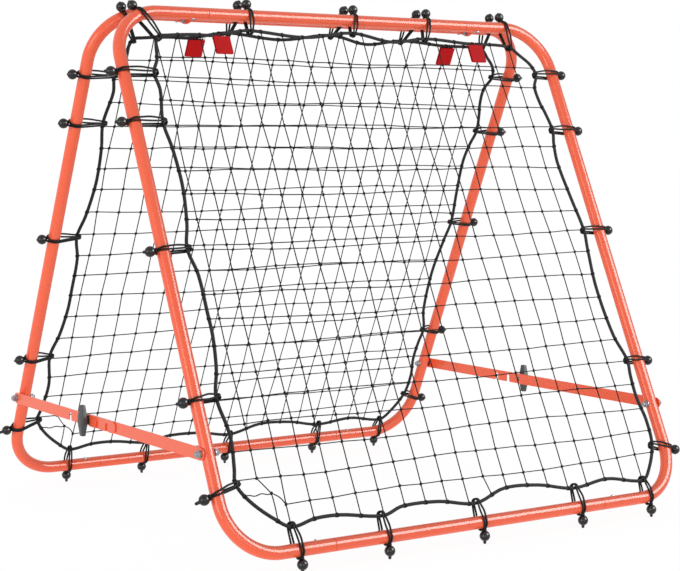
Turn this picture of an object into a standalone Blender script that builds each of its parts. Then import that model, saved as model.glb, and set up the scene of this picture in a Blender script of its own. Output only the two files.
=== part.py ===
"""Soccer rebound net: two leaning tube frames, each with a net laced into it by bungee loops.

The frames are hinged together along the top and held apart at the sides by two pinned struts.
Axes: X runs along the top hinge, Y from the front frame to the rear one, Z up. The origin is
on the ground, in the middle of the footprint.
"""
import math

import bmesh
import bpy
from mathutils import Matrix, Vector

# Frame, measured between tube axes
FRAME_WIDTH = 0.936
FRAME_HEIGHT = 0.9485
FRAME_GAP = 0.0509
LEAN = math.radians(25.154)
TUBE_R = 0.011
TUBE_WALL = 0.0015
BEND_R = 0.090
BEND_STEPS = 5
TUBE_RESOLUTION = 2
TUBE_SIDES = 2 * TUBE_RESOLUTION + 4
HOLE_SIDES = 8
CLEARANCE = 0.0003
PIN_CLEARANCE = 0.0001

# Slip joints between the straight tubes and the side tubes
JOINT_X = 0.282
SPIGOT_LENGTH = 0.058
SPIGOT_WALL = 0.0017
BORE_R = TUBE_R - TUBE_WALL
SPIGOT_R = BORE_R - CLEARANCE
SPIGOT_BORE_R = SPIGOT_R - SPIGOT_WALL

# Spring button that locks each slip joint
BUTTON_INSET = 0.030
BUTTON_R = 0.0032
BUTTON_PROUD = 0.0018
BUTTON_TRAVEL = 0.0035
BUTTON_DOME = 0.0010
LEAF_WIDTH = 0.005
LEAF_THICKNESS = 0.0008
LEAF_LENGTH = 0.035

# Hinge lugs and their bolts
HINGE_X = 0.310
HINGE_DROP = 0.011
LUG_THICKNESS = 0.003
LUG_END_R = 0.007
LUG_ROOT_WIDTH = 0.0175
HINGE_BOLT_R = 0.003
HINGE_HEAD_R = 0.0058
HINGE_HEAD_LENGTH = 0.004

# Struts, their pivot bolts and the clamping knob
PIVOT_RISE = 0.1695
STRUT_BOLT_R = 0.004
STRUT_HEAD_R = 0.0075
STRUT_HEAD_LENGTH = 0.0053
WASHER_R = 0.0088
WASHER_THICKNESS = 0.0015
BAR_HEIGHT = 0.0205
BAR_THICKNESS = 0.002
STUD_Y = 0.043
STUD_R = 0.004
SETTING_SLACK = 0.0005
SETTING_PITCH = 0.0365
SETTINGS_INSIDE = 2
SETTINGS_OUTSIDE = 2
BAR_END_MARGIN = 0.023
KNOB_LENGTH = 0.054
KNOB_WIDTH = 0.0167
KNOB_DEPTH = 0.0092
KNOB_TIP_WIDTH = 0.010
KNOB_TIP_DEPTH = 0.006
KNOB_HUB_R = 0.008
KNOB_HUB_LENGTH = 0.0035
KNOB_ROUNDING = 0.0012

# Border rope, net and tabs
ROPE_R = 0.003
NET_GAPS = 10
NET_CORD = 0.003
NET_THICKNESS = 0.002
TAB_WIDTH = 0.034
TAB_LENGTH = 0.040
TAB_THICKNESS = 0.001
TAB_THROAT = 0.008
TAB_PLACES = (0.204, -0.173)

# Bungee loops and their balls
BUNGEE_D = 0.003
BALL_R = 0.009
BALL_OUT = 0.0235
BALL_STEPS = 8
NUB_LENGTH = 0.0045
NUB_ROOT_R = 0.003
FOOT_TIP_R = 0.002
WRAP_REACH = 0.008

# Places along a side, in metres from its start, or if negative from its end. Each rope point
# also has its inset from the tube's axis. Left and right run down, top and bottom run right.
BUNGEE_PLACES = {
    "top": (0.272, 0.500, -0.269, -0.091),
    "right": (0.101, 0.222, 0.432, -0.2525),
    "bottom": (0.122, 0.288, 0.482, -0.237),
    "left": (0.117, 0.210, 0.440, -0.2535, -0.0975),
}

# Loops on the bends: left or right, top or bottom, and which flat of the bend, from the middle tube
CORNER_BUNGEES = {"top": (-1, 1, 1), "right": (1, -1, 4), "bottom": (1, -1, 0)}
ROPE_PLACES = {
    "top": (
        (0.0640, 0.0525), (0.0780, 0.0465), (0.1680, 0.0400), (0.2720, 0.0300), (0.3860, 0.0385),
        (0.5000, 0.0260), (-0.3580, 0.0410), (-0.2690, 0.0310), (-0.1780, 0.0380),
        (-0.0980, 0.0400), (-0.0840, 0.0420),
    ),
    "right": (
        (0.0640, 0.0590), (0.1010, 0.0420), (0.1400, 0.0545), (0.2220, 0.0400), (0.3000, 0.0500),
        (0.4320, 0.0360), (0.5600, 0.0460), (-0.2525, 0.0260), (-0.0785, 0.0290),
        (-0.0480, 0.0480),
    ),
    "bottom": (
        (0.0910, 0.0500), (0.1220, 0.0375), (0.2030, 0.0465), (0.2880, 0.0325), (0.3850, 0.0465),
        (0.4820, 0.0325), (-0.3450, 0.0495), (-0.2370, 0.0315), (-0.1560, 0.0415),
        (-0.0750, 0.0325),
    ),
    "left": (
        (0.0860, 0.0660), (0.1170, 0.0560), (0.1600, 0.0610), (0.2100, 0.0520), (0.3250, 0.0615),
        (0.4400, 0.0440), (0.5600, 0.0540), (-0.2535, 0.0350), (-0.1785, 0.0450),
        (-0.0975, 0.0380), (-0.0740, 0.0500),
    ),
}
ROPE_STEPS = 2
ROPE_RESOLUTION = 1

# Derived places shared by several pieces
HALF_WIDTH = FRAME_WIDTH / 2
PIVOT_DOWN = FRAME_HEIGHT - PIVOT_RISE
TOP_Z = BALL_R + NUB_LENGTH + (FRAME_HEIGHT + BALL_OUT) * math.cos(LEAN)
PIVOT_Y = FRAME_GAP / 2 + PIVOT_DOWN * math.sin(LEAN)
FRONT_BAR_X = HALF_WIDTH + TUBE_R + CLEARANCE
REAR_BAR_X = FRONT_BAR_X + BAR_THICKNESS + CLEARANCE
FRAME_SIDES = {"front": -1, "rear": 1}
HAND_SIDES = {"left": -1, "right": 1}

RIGHT_ANGLE = math.pi / 2


def remove_everything():
    for old in list(bpy.data.objects):
        bpy.data.objects.remove(old)


def new_collection(name):
    collection = bpy.data.collections.new(name)
    bpy.context.scene.collection.children.link(collection)
    return collection


def new_material(name, colour, roughness, metallic):
    material = bpy.data.materials.new(name)
    material.use_nodes = True
    shader = material.node_tree.nodes["Principled BSDF"]
    shader.inputs["Base Color"].default_value = (*colour, 1)
    shader.inputs["Roughness"].default_value = roughness
    shader.inputs["Metallic"].default_value = metallic
    return material


remove_everything()
PARTS = new_collection("soccer_rebound_net")
CUTTERS = new_collection("cutters")
ORANGE = new_material("orange_powder_coat", (0.95, 0.16, 0.07), 0.35, 0.0)
STEEL = new_material("zinc_plated_steel", (0.55, 0.56, 0.58), 0.30, 1.0)
BLACK_CORD = new_material("black_cord", (0.012, 0.012, 0.012), 0.70, 0.0)
BLACK_PLASTIC = new_material("black_plastic", (0.015, 0.015, 0.016), 0.30, 0.0)
RED_WEBBING = new_material("red_webbing", (0.56, 0.01, 0.012), 0.75, 0.0)


def add_object(name, data, parent=None, location=(0, 0, 0), rotation=(0, 0, 0)):
    obj = bpy.data.objects.new(name, data)
    PARTS.objects.link(obj)
    obj.parent = parent
    obj.location = location
    obj.rotation_euler = rotation
    return obj


def add_empty(name, parent=None, location=(0, 0, 0), rotation=(0, 0, 0)):
    return add_object(name, None, parent, location, rotation)


def finish(obj, material, smooth_angle=40):
    """Gives a finished piece its material, and shades its round faces smooth."""
    obj.data.materials.clear()
    obj.data.materials.append(material)
    if obj.type == "MESH":
        obj.data.shade_smooth()
        obj.data.set_sharp_from_angle(angle=math.radians(smooth_angle))
    return obj


def make_cutter(obj):
    PARTS.objects.unlink(obj)
    CUTTERS.objects.link(obj)
    obj.hide_render = True
    obj.display_type = "WIRE"


def combine(target, tool, operation):
    """Adds a Boolean of the tool to the target, and sets the tool aside as a guide."""
    boolean = target.modifiers.new(tool.name, "BOOLEAN")
    boolean.operation = operation
    boolean.solver = "EXACT"
    boolean.object = tool
    make_cutter(tool)


def curve_to_mesh(obj):
    """Turns a curve object into a closed mesh object that Booleans can use."""
    bpy.context.view_layer.update()
    evaluated = obj.evaluated_get(bpy.context.evaluated_depsgraph_get())
    mesh = bpy.data.meshes.new_from_object(evaluated)
    bm = bmesh.new()
    bm.from_mesh(mesh)
    bmesh.ops.remove_doubles(bm, verts=bm.verts, dist=1e-6)
    bm.to_mesh(mesh)
    bm.free()
    solid = bpy.data.objects.new(obj.name + "_solid", mesh)
    PARTS.objects.link(solid)
    solid.parent = obj.parent
    solid.matrix_parent_inverse = obj.matrix_parent_inverse
    solid.matrix_world = obj.matrix_world
    name = obj.name
    bpy.data.objects.remove(obj)
    solid.name = name
    return solid


def add_tube(name, points, radius, resolution, parent, cyclic=False):
    """A round bar along a polyline, as a closed mesh."""
    curve = bpy.data.curves.new(name, "CURVE")
    curve.dimensions = "3D"
    curve.bevel_depth = radius
    curve.bevel_resolution = resolution
    curve.use_fill_caps = not cyclic
    spline = curve.splines.new("POLY")
    spline.points.add(len(points) - 1)
    for spline_point, point in zip(spline.points, points):
        spline_point.co = (*point, 1)
    spline.use_cyclic_u = cyclic
    return curve_to_mesh(add_object(name, curve, parent))


def add_plate(name, outlines, thickness, parent, location=(0, 0, 0), rotation=(0, 0, 0)):
    """A flat plate in its own XY plane: the first outline is its edge, the others are holes."""
    curve = bpy.data.curves.new(name, "CURVE")
    curve.dimensions = "2D"
    curve.fill_mode = "BOTH"
    curve.extrude = thickness / 2
    for outline in outlines:
        spline = curve.splines.new("POLY")
        spline.points.add(len(outline) - 1)
        for spline_point, (x, y) in zip(spline.points, outline):
            spline_point.co = (x, y, 0, 1)
        spline.use_cyclic_u = True
    return curve_to_mesh(add_object(name, curve, parent, location, rotation))


def add_turned(
    name, profile, steps, parent, location=(0, 0, 0), rotation=(0, 0, 0), ring=False, start=0
):
    """A profile of (radius, height) points turned round local Z, outer side from top to bottom."""
    mesh = bpy.data.meshes.new(name)
    edges = [(i, i + 1) for i in range(len(profile) - 1)]
    if ring:
        edges.append((len(profile) - 1, 0))
    points = [(r * math.cos(start), r * math.sin(start), z) for r, z in profile]
    mesh.from_pydata(points, edges, [])
    obj = add_object(name, mesh, parent, location, rotation)
    screw = obj.modifiers.new("turn", "SCREW")
    screw.axis = "Z"
    screw.steps = steps
    screw.render_steps = steps
    screw.use_merge_vertices = True
    screw.merge_threshold = 1e-6
    return obj


def hole_radius(pin_radius):
    """Radius of a faceted hole that clears a round pin all the way round."""
    return (pin_radius + PIN_CLEARANCE) / math.cos(math.pi / HOLE_SIDES)


def add_rods(name, rods, parent, sides=HOLE_SIDES, location=(0, 0, 0), rotation=(0, 0, 0)):
    """Separate straight rods, each given as (radius, start, end), in one mesh.

    Their first edge, not their first corner, faces along X, so none runs on a tube's own edge.
    """
    bm = bmesh.new()
    for radius, start, end in rods:
        axis = Vector(end) - Vector(start)
        middle = (Vector(start) + Vector(end)) / 2
        turn = axis.to_track_quat("Z", "Y").to_matrix().to_4x4()
        turn = turn @ Matrix.Rotation(math.pi / sides, 4, "Z")
        bmesh.ops.create_cone(
            bm, cap_ends=True, segments=sides, radius1=radius, radius2=radius,
            depth=axis.length, matrix=Matrix.Translation(middle) @ turn,
        )
    mesh = bpy.data.meshes.new(name)
    bm.to_mesh(mesh)
    bm.free()
    return add_object(name, mesh, parent, location, rotation)


def arc(centre, radius, start, end, steps):
    """Points on a circle from one angle to another, both ends included."""
    points = []
    for i in range(steps + 1):
        angle = start + (end - start) * i / steps
        points.append((centre[0] + radius * math.cos(angle), centre[1] + radius * math.sin(angle)))
    return points


def circle(centre, radius, steps):
    return arc(centre, radius, 0, 2 * math.pi * (steps - 1) / steps, steps - 1)


def offset_path(points, distance, closed):
    """The path moved sideways to its left by the distance, with mitred corners."""
    points = [Vector(point) for point in points]
    count = len(points)
    moved = []
    for i, point in enumerate(points):
        before = points[i - 1] if closed or i > 0 else None
        after = points[(i + 1) % count] if closed or i < count - 1 else None
        into = (point - before).normalized() if before else (after - point).normalized()
        out = (after - point).normalized() if after else into
        left_in = Vector((-into.y, into.x))
        left_out = Vector((-out.y, out.x))
        mitre = (left_in + left_out).normalized()
        moved.append(tuple(point + mitre * distance / mitre.dot(left_in)))
    return moved


def add_strip(name, path, thickness, width, closed, parent, location=(0, 0, 0), rotation=(0, 0, 0)):
    """A strap of even thickness that follows a path in its own XY plane."""
    one_face = offset_path(path, thickness / 2, closed)
    other_face = offset_path(path, -thickness / 2, closed)
    if closed:
        outlines = [one_face, other_face]
    else:
        outlines = [one_face + other_face[::-1]]
    return add_plate(name, outlines, width, parent, location, rotation)


# Frames and the axes that they turn on


def frame_planes():
    """An empty in each frame's plane, at its top tube: local Z runs up the plane."""
    hinge_axis = add_empty("frame_hinge_axis", None, (0, 0, TOP_Z - HINGE_DROP))
    front = add_empty("front_plane", None, (0, -FRAME_GAP / 2, TOP_Z), (-LEAN, 0, 0))
    rear = add_empty("rear_plane", hinge_axis, (0, FRAME_GAP / 2, HINGE_DROP), (LEAN, 0, 0))
    return {"front": front, "rear": rear}


def side_tube_path(hand):
    """The C shaped axis of one side tube, from its top joint to its bottom joint."""
    inner_x = HALF_WIDTH - BEND_R
    path = [(JOINT_X, 0)]
    path += arc((inner_x, -BEND_R), BEND_R, RIGHT_ANGLE, 0, BEND_STEPS)
    path += arc((inner_x, BEND_R - FRAME_HEIGHT), BEND_R, 0, -RIGHT_ANGLE, BEND_STEPS)
    path.append((JOINT_X, -FRAME_HEIGHT))
    return [(hand * x, 0, z) for x, z in path]


def lug_place(side):
    """Where the hinge axis lies in a frame's plane coordinates, as (local Y, local Z)."""
    angle = side * LEAN
    across = -side * FRAME_GAP / 2
    local_y = across * math.cos(angle) - HINGE_DROP * math.sin(angle)
    local_z = -across * math.sin(angle) - HINGE_DROP * math.cos(angle)
    return local_y, local_z


def lug_middle(frame):
    """Distance along X to the middle of the frame's hinge lug: the two lugs lie side by side."""
    return HINGE_X + FRAME_SIDES[frame] * (LUG_THICKNESS / 2 + CLEARANCE)


def add_lug(name, frame, hand, plane):
    """The hinge lug: a tapered plate from inside the tube to a round end on the hinge axis."""
    local_y, local_z = lug_place(FRAME_SIDES[frame])
    reach = math.hypot(local_y, local_z)
    aim = math.atan2(local_z, local_y)
    root = BORE_R / 2
    outline = [(root, -LUG_ROOT_WIDTH / 2)]
    outline += arc((reach, 0), LUG_END_R, -RIGHT_ANGLE, RIGHT_ANGLE, 6)
    outline.append((root, LUG_ROOT_WIDTH / 2))
    turn = Matrix.Rotation(aim, 3, "X") @ Matrix.Rotation(RIGHT_ANGLE, 3, "Z")
    turn = turn @ Matrix.Rotation(RIGHT_ANGLE, 3, "X")
    location = (hand * lug_middle(frame), 0, 0)
    return add_plate(name, [outline], LUG_THICKNESS, plane, location, turn.to_euler())


def add_side_tube(frame, hand_name, plane):
    """A bent tube with its hinge lug welded on, bored through, with the holes of its fittings."""
    name = f"{frame}_side_tube_{hand_name}"
    hand = HAND_SIDES[hand_name]
    path = side_tube_path(hand)
    tube = add_tube(name, path, TUBE_R, TUBE_RESOLUTION, plane)
    combine(tube, add_lug(name + "_lug", frame, hand, plane), "UNION")
    overrun = hand * TUBE_R
    top_end = (path[0][0] - overrun, 0, path[0][2])
    bottom_end = (path[-1][0] - overrun, 0, path[-1][2])
    bore_path = [top_end] + path[1:-1] + [bottom_end]
    combine(tube, add_tube(name + "_bore", bore_path, BORE_R, TUBE_RESOLUTION, plane), "DIFFERENCE")
    button_x = hand * (JOINT_X + BUTTON_INSET)
    local_y, local_z = lug_place(FRAME_SIDES[frame])
    lug_x = hand * lug_middle(frame)
    leg_x = hand * HALF_WIDTH
    button_r = hole_radius(BUTTON_R)
    bolt_r = hole_radius(STRUT_BOLT_R)
    pin_r = hole_radius(HINGE_BOLT_R)
    far = 2 * TUBE_R
    rods = [
        (button_r, (button_x, 0, 0), (button_x, 0, -far)),
        (button_r, (button_x, 0, -FRAME_HEIGHT), (button_x, 0, far - FRAME_HEIGHT)),
        (bolt_r, (leg_x - far, 0, -PIVOT_DOWN), (leg_x + far, 0, -PIVOT_DOWN)),
        (pin_r, (lug_x - LUG_THICKNESS, local_y, local_z), (lug_x + LUG_THICKNESS, local_y, local_z)),
    ]
    combine(tube, add_rods(name + "_holes", rods, plane), "DIFFERENCE")
    return finish(tube, ORANGE)


def add_straight_tube(frame, level, plane):
    """A straight tube with a reduced spigot at each end that slides into the side tubes."""
    name = f"{frame}_{level}_tube"
    joint = JOINT_X
    tip = JOINT_X + SPIGOT_LENGTH
    shoulder = joint - CLEARANCE
    profile = [
        (SPIGOT_R, tip), (SPIGOT_R, shoulder), (TUBE_R, shoulder), (TUBE_R, -shoulder),
        (SPIGOT_R, -shoulder), (SPIGOT_R, -tip), (SPIGOT_BORE_R, -tip), (SPIGOT_BORE_R, tip),
    ]
    down = 0 if level == "top" else -FRAME_HEIGHT
    turn = (0, RIGHT_ANGLE if level == "top" else -RIGHT_ANGLE, 0)
    place = (0, 0, down)
    tube = add_turned(name, profile, TUBE_SIDES, plane, place, turn, ring=True, start=RIGHT_ANGLE)
    hole_z = joint + BUTTON_INSET
    button_r = hole_radius(BUTTON_R)
    rods = [(button_r, (0, 0, z), (2 * TUBE_R, 0, z)) for z in (hole_z, -hole_z)]
    combine(tube, add_rods(name + "_holes", rods, plane, HOLE_SIDES, place, turn), "DIFFERENCE")
    return finish(tube, ORANGE)


def add_snap_button(frame, level, hand_name, plane):
    """A button on a bent leaf spring, inside the spigot. It slides along its own pin."""
    name = f"{frame}_{level}_snap_button_{hand_name}"
    hand = HAND_SIDES[hand_name]
    tip = TUBE_R + BUTTON_PROUD
    root = SPIGOT_BORE_R / 2
    profile = [
        (0, tip), (BUTTON_R - BUTTON_DOME, tip), (BUTTON_R, tip - BUTTON_DOME), (BUTTON_R, root),
        (0, root),
    ]
    down = 0 if level == "top" else -FRAME_HEIGHT
    inward = -1 if level == "top" else 1
    location = (hand * (JOINT_X + BUTTON_INSET), 0, down)
    pin = add_turned(name, profile, 8, plane, location, (0 if inward > 0 else math.pi, 0, 0))
    half_chord = LEAF_WIDTH / 2 + CLEARANCE
    tail = math.sqrt(SPIGOT_BORE_R**2 - half_chord**2) - BUTTON_TRAVEL - LEAF_THICKNESS
    seat = root + LEAF_THICKNESS / 4
    path = [(-BUTTON_R, seat), (BUTTON_R, seat), (LEAF_LENGTH, -tail)]
    path = [(-hand * x, inward * z) for x, z in path]
    turn = (RIGHT_ANGLE, 0, 0)
    leaf = add_strip(name + "_leaf", path, LEAF_THICKNESS, LEAF_WIDTH, False, plane, location, turn)
    combine(pin, leaf, "UNION")
    return finish(pin, STEEL)


# Hinge and strut hardware


def add_bolt(name, radius, head_r, head_length, inner_x, outer_x, washer_r, parent, location, hand):
    """A hex bolt through a stack: shank and washers turned in one, with a hex head and nut."""
    washer = WASHER_THICKNESS if washer_r else 0
    washer_r = washer_r or radius * 1.5
    head_x = outer_x + washer
    nut_x = inner_x - washer
    end = head_length / 2
    if washer:
        profile = [
            (0, head_x + end), (radius, head_x + end), (radius, head_x), (washer_r, head_x),
            (washer_r, outer_x), (radius, outer_x), (radius, inner_x), (washer_r, inner_x),
            (washer_r, nut_x), (radius, nut_x), (radius, nut_x - head_length - end),
            (0, nut_x - head_length - end),
        ]
    else:
        profile = [
            (0, head_x + end), (radius, head_x + end), (radius, nut_x - head_length - end),
            (0, nut_x - head_length - end),
        ]
    turn = (0, hand * RIGHT_ANGLE, 0)
    bolt = add_turned(name, profile, 8, parent, location, turn)
    hexes = ((head_x, head_x + head_length), (nut_x - head_length, nut_x))
    for label, (start, stop) in zip(("_head", "_nut"), hexes):
        rods = [(head_r, (0, 0, start), (0, 0, stop))]
        combine(bolt, add_rods(name + label, rods, parent, 6, location, turn), "UNION")
    return finish(bolt, STEEL)


def add_hinge_bolt(hand_name):
    inner = HINGE_X - LUG_THICKNESS - 2 * CLEARANCE
    outer = HINGE_X + LUG_THICKNESS + 2 * CLEARANCE
    return add_bolt(
        f"hinge_bolt_{hand_name}", HINGE_BOLT_R, HINGE_HEAD_R, HINGE_HEAD_LENGTH, inner, outer,
        None, None, (0, 0, TOP_Z - HINGE_DROP), HAND_SIDES[hand_name],
    )


def add_strut_bolt(frame, hand_name, plane):
    bar_x = FRONT_BAR_X if frame == "front" else REAR_BAR_X
    inner = HALF_WIDTH - TUBE_R - CLEARANCE
    outer = bar_x + BAR_THICKNESS + CLEARANCE
    return add_bolt(
        f"{frame}_strut_bolt_{hand_name}", STRUT_BOLT_R, STRUT_HEAD_R, STRUT_HEAD_LENGTH, inner,
        outer, WASHER_R, plane, (0, 0, -PIVOT_DOWN), HAND_SIDES[hand_name],
    )


def add_strut_spacer(hand_name, plane):
    """The ring that holds the rear bar off the leg, level with the front bar's thickness."""
    hole_r = hole_radius(STRUT_BOLT_R)
    inner = FRONT_BAR_X
    outer = REAR_BAR_X - CLEARANCE
    profile = [(WASHER_R, outer), (WASHER_R, inner), (hole_r, inner), (hole_r, outer)]
    turn = (0, HAND_SIDES[hand_name] * RIGHT_ANGLE, 0)
    name = f"rear_strut_spacer_{hand_name}"
    spacer = add_turned(name, profile, 8, plane, (0, 0, -PIVOT_DOWN), turn, ring=True)
    return finish(spacer, BLACK_PLASTIC)


def add_strut_bar(frame, hand_name, pivot):
    """A flat bar with round ends. The rear one's notches hook over the stud, one per lean angle."""
    side = FRAME_SIDES[frame]
    end_r = BAR_HEIGHT / 2
    stud_reach = PIVOT_Y - side * STUD_Y
    outlines = [circle((0, 0), hole_radius(STRUT_BOLT_R), HOLE_SIDES)]
    edge = arc((0, 0), end_r, RIGHT_ANGLE, 3 * RIGHT_ANGLE, 6)
    if frame == "front":
        length = stud_reach
        outlines.append(circle((stud_reach, 0), hole_radius(STUD_R), HOLE_SIDES))
    else:
        length = stud_reach + SETTINGS_OUTSIDE * SETTING_PITCH + BAR_END_MARGIN
        notch_r = hole_radius(STUD_R + SETTING_SLACK)
        for i in range(-SETTINGS_INSIDE, SETTINGS_OUTSIDE + 1):
            place = stud_reach + i * SETTING_PITCH
            edge.append((place - notch_r, -end_r))
            edge += arc((place, 0), notch_r, math.pi, 0, HOLE_SIDES // 2)
            edge.append((place + notch_r, -end_r))
    edge += arc((length, 0), end_r, -RIGHT_ANGLE, RIGHT_ANGLE, 6)
    turn = Matrix.Rotation(-side * RIGHT_ANGLE, 3, "Z") @ Matrix.Rotation(RIGHT_ANGLE, 3, "X")
    name = f"{frame}_strut_bar_{hand_name}"
    bar = add_plate(name, [edge] + outlines, BAR_THICKNESS, pivot, (0, 0, 0), turn.to_euler())
    return finish(bar, ORANGE)


def add_strut_knob(hand_name, pivot):
    """A T shaped handle on a hub, with the stud that sits in the rear bar's middle notch."""
    name = f"strut_knob_{hand_name}"
    hub_start = BAR_THICKNESS / 2 + CLEARANCE
    handle_start = hub_start + KNOB_HUB_LENGTH
    bm = bmesh.new()
    bmesh.ops.create_cube(bm, size=1)
    bmesh.ops.bisect_plane(bm, geom=bm.verts[:] + bm.edges[:] + bm.faces[:], plane_no=(0, 0, 1))
    for vert in bm.verts:
        at_tip = abs(vert.co.z) > 0.25
        width = KNOB_TIP_WIDTH if at_tip else KNOB_WIDTH
        depth = KNOB_TIP_DEPTH if at_tip else KNOB_DEPTH
        middle = handle_start + KNOB_DEPTH / 2
        vert.co = (middle + vert.co.x * depth, vert.co.y * width, vert.co.z * KNOB_LENGTH)
    mesh = bpy.data.meshes.new(name)
    bm.to_mesh(mesh)
    bm.free()
    place = (0, STUD_Y - PIVOT_Y, 0)
    turn = (0, 0, 0 if hand_name == "right" else math.pi)
    knob = add_object(name, mesh, pivot, place, turn)
    bevel = knob.modifiers.new("rounded edges", "BEVEL")
    bevel.width = KNOB_ROUNDING
    bevel.segments = 1
    hub = [(KNOB_HUB_R, (hub_start, 0, 0), (handle_start + KNOB_DEPTH / 4, 0, 0))]
    combine(knob, add_rods(name + "_hub", hub, pivot, 16, place, turn), "UNION")
    stud = [(STUD_R, (-BAR_THICKNESS / 2, 0, 0), (handle_start, 0, 0))]
    combine(knob, add_rods(name + "_stud", stud, pivot, 12, place, turn), "UNION")
    return finish(knob, BLACK_PLASTIC)


# Rope, net, tabs and bungee loops


def along(place, length):
    """A place on a side: positive from its start, negative from its end."""
    return place if place >= 0 else length + place


def side_point(side_name, place, inset):
    """A point in the frame's plane, as (x, z), from a place on a side and an inset."""
    if side_name in ("top", "bottom"):
        x = along(place, FRAME_WIDTH) - HALF_WIDTH
        z = -inset if side_name == "top" else inset - FRAME_HEIGHT
        return Vector((x, z))
    z = -along(place, FRAME_HEIGHT)
    x = HALF_WIDTH - inset
    return Vector((x if side_name == "right" else -x, z))


def rope_route():
    """The rope's own points, once round the net, clockwise from the top left."""
    route = []
    for side_name, backwards in (("top", 1), ("right", 1), ("bottom", -1), ("left", -1)):
        places = ROPE_PLACES[side_name][::backwards]
        route += [side_point(side_name, place, inset) for place, inset in places]
    return route


def smooth_loop(points, steps):
    """Points on a smooth closed curve that passes through the given ones."""
    count = len(points)
    smooth = []
    for i in range(count):
        before, start, end, after = (points[(i + k) % count] for k in (-1, 0, 1, 2))
        chord = (end - start).length
        leave = (end - before).normalized() * chord
        arrive = (after - start).normalized() * chord
        for step in range(steps):
            t = step / steps
            smooth.append(
                start * (2 * t**3 - 3 * t**2 + 1) + leave * (t**3 - 2 * t**2 + t)
                + end * (3 * t**2 - 2 * t**3) + arrive * (t**3 - t**2)
            )
    return smooth


ROPE_LINE = smooth_loop(rope_route(), ROPE_STEPS)


def rope_distance(start, direction):
    """How far the rope's axis is from a point, in a direction in the frame's plane."""
    nearest = None
    for a, b in zip(ROPE_LINE, ROPE_LINE[1:] + ROPE_LINE[:1]):
        edge = b - a
        cross = direction.x * edge.y - direction.y * edge.x
        if abs(cross) < 1e-9:
            continue
        gap = a - start
        distance = (gap.x * edge.y - gap.y * edge.x) / cross
        share = (gap.x * direction.y - gap.y * direction.x) / cross
        on_edge = -1e-6 < share < 1 + 1e-6
        if on_edge and distance > 0 and (nearest is None or distance < nearest):
            nearest = distance
    return nearest


def add_net(frame, plane):
    """A flat net: crossed cords, whose ends all lie against the rope."""
    border = offset_path(ROPE_LINE, -ROPE_R - CLEARANCE, True)
    bm = bmesh.new()
    bm.faces.new([bm.verts.new((x, 0, z)) for x, z in border])
    cords = {0: cord_places(0, border), 2: cord_places(1, border)}
    for axis, places in cords.items():
        normal = Vector((axis == 0, 0, axis == 2))
        for edge in [place + side * NET_CORD / 2 for place in places for side in (-1, 1)]:
            geometry = bm.verts[:] + bm.edges[:] + bm.faces[:]
            bmesh.ops.bisect_plane(bm, geom=geometry, plane_co=normal * edge, plane_no=normal)
    gaps = []
    for face in bm.faces:
        centre = face.calc_center_median()
        distances = [abs(centre[axis] - place) for axis in cords for place in cords[axis]]
        if min(distances) > NET_CORD / 2:
            gaps.append(face)
    bmesh.ops.delete(bm, geom=gaps, context="FACES")
    mesh = bpy.data.meshes.new(f"{frame}_net")
    bm.to_mesh(mesh)
    bm.free()
    net = add_object(f"{frame}_net", mesh, plane)
    solidify = net.modifiers.new("cord thickness", "SOLIDIFY")
    solidify.thickness = NET_THICKNESS
    solidify.offset = 0
    net.data.materials.append(BLACK_CORD)
    return net


def cord_places(axis, border):
    """Evenly spaced cords. One that would cross a bungee loop passes beside it."""
    values = [point[axis] for point in border]
    low, high = min(values), max(values)
    loops = []
    for side_name in ("top", "bottom") if axis == 0 else ("left", "right"):
        for place in BUNGEE_PLACES[side_name]:
            point = side_point(side_name, place, 0)
            loops.append(point[axis])
    margin = BUNGEE_D + NET_CORD / 2 + 2 * CLEARANCE
    places = []
    for i in range(1, NET_GAPS):
        place = low + (high - low) * i / NET_GAPS
        for loop in loops:
            if abs(place - loop) < margin:
                place = loop + math.copysign(margin, place - loop)
        places.append(place)
    return places


def bungee_path(ball_out, rope_end):
    """Middle line of the loop: from the ball round the tube, then to the rope, and back."""
    tube_r = TUBE_R + (CLEARANCE + BUNGEE_D / 2) / math.cos(math.pi / TUBE_SIDES)
    half = [
        (ball_out - BALL_R + BUNGEE_D / 3, BUNGEE_D * 2 / 3),
        (tube_r * math.sqrt(0.5), tube_r * math.sqrt(0.5)),
        (0, tube_r),
    ]
    half += rope_end
    return half + [(u, -n) for u, n in half[::-1]]


def ball_profile(tip_r):
    """A ball with a conical nub at its top, whose tip is flat where it is a foot."""
    tip = BALL_R + NUB_LENGTH
    waist = math.radians(16)
    profile = [(0, tip), (tip_r, tip)] if tip_r else [(0, tip)]
    profile.append((NUB_ROOT_R, math.sqrt(BALL_R**2 - NUB_ROOT_R**2)))
    profile += [(BALL_R * math.cos(a), BALL_R * math.sin(a)) for a in (waist, -waist)]
    return profile + [(0, -BALL_R)]


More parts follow.
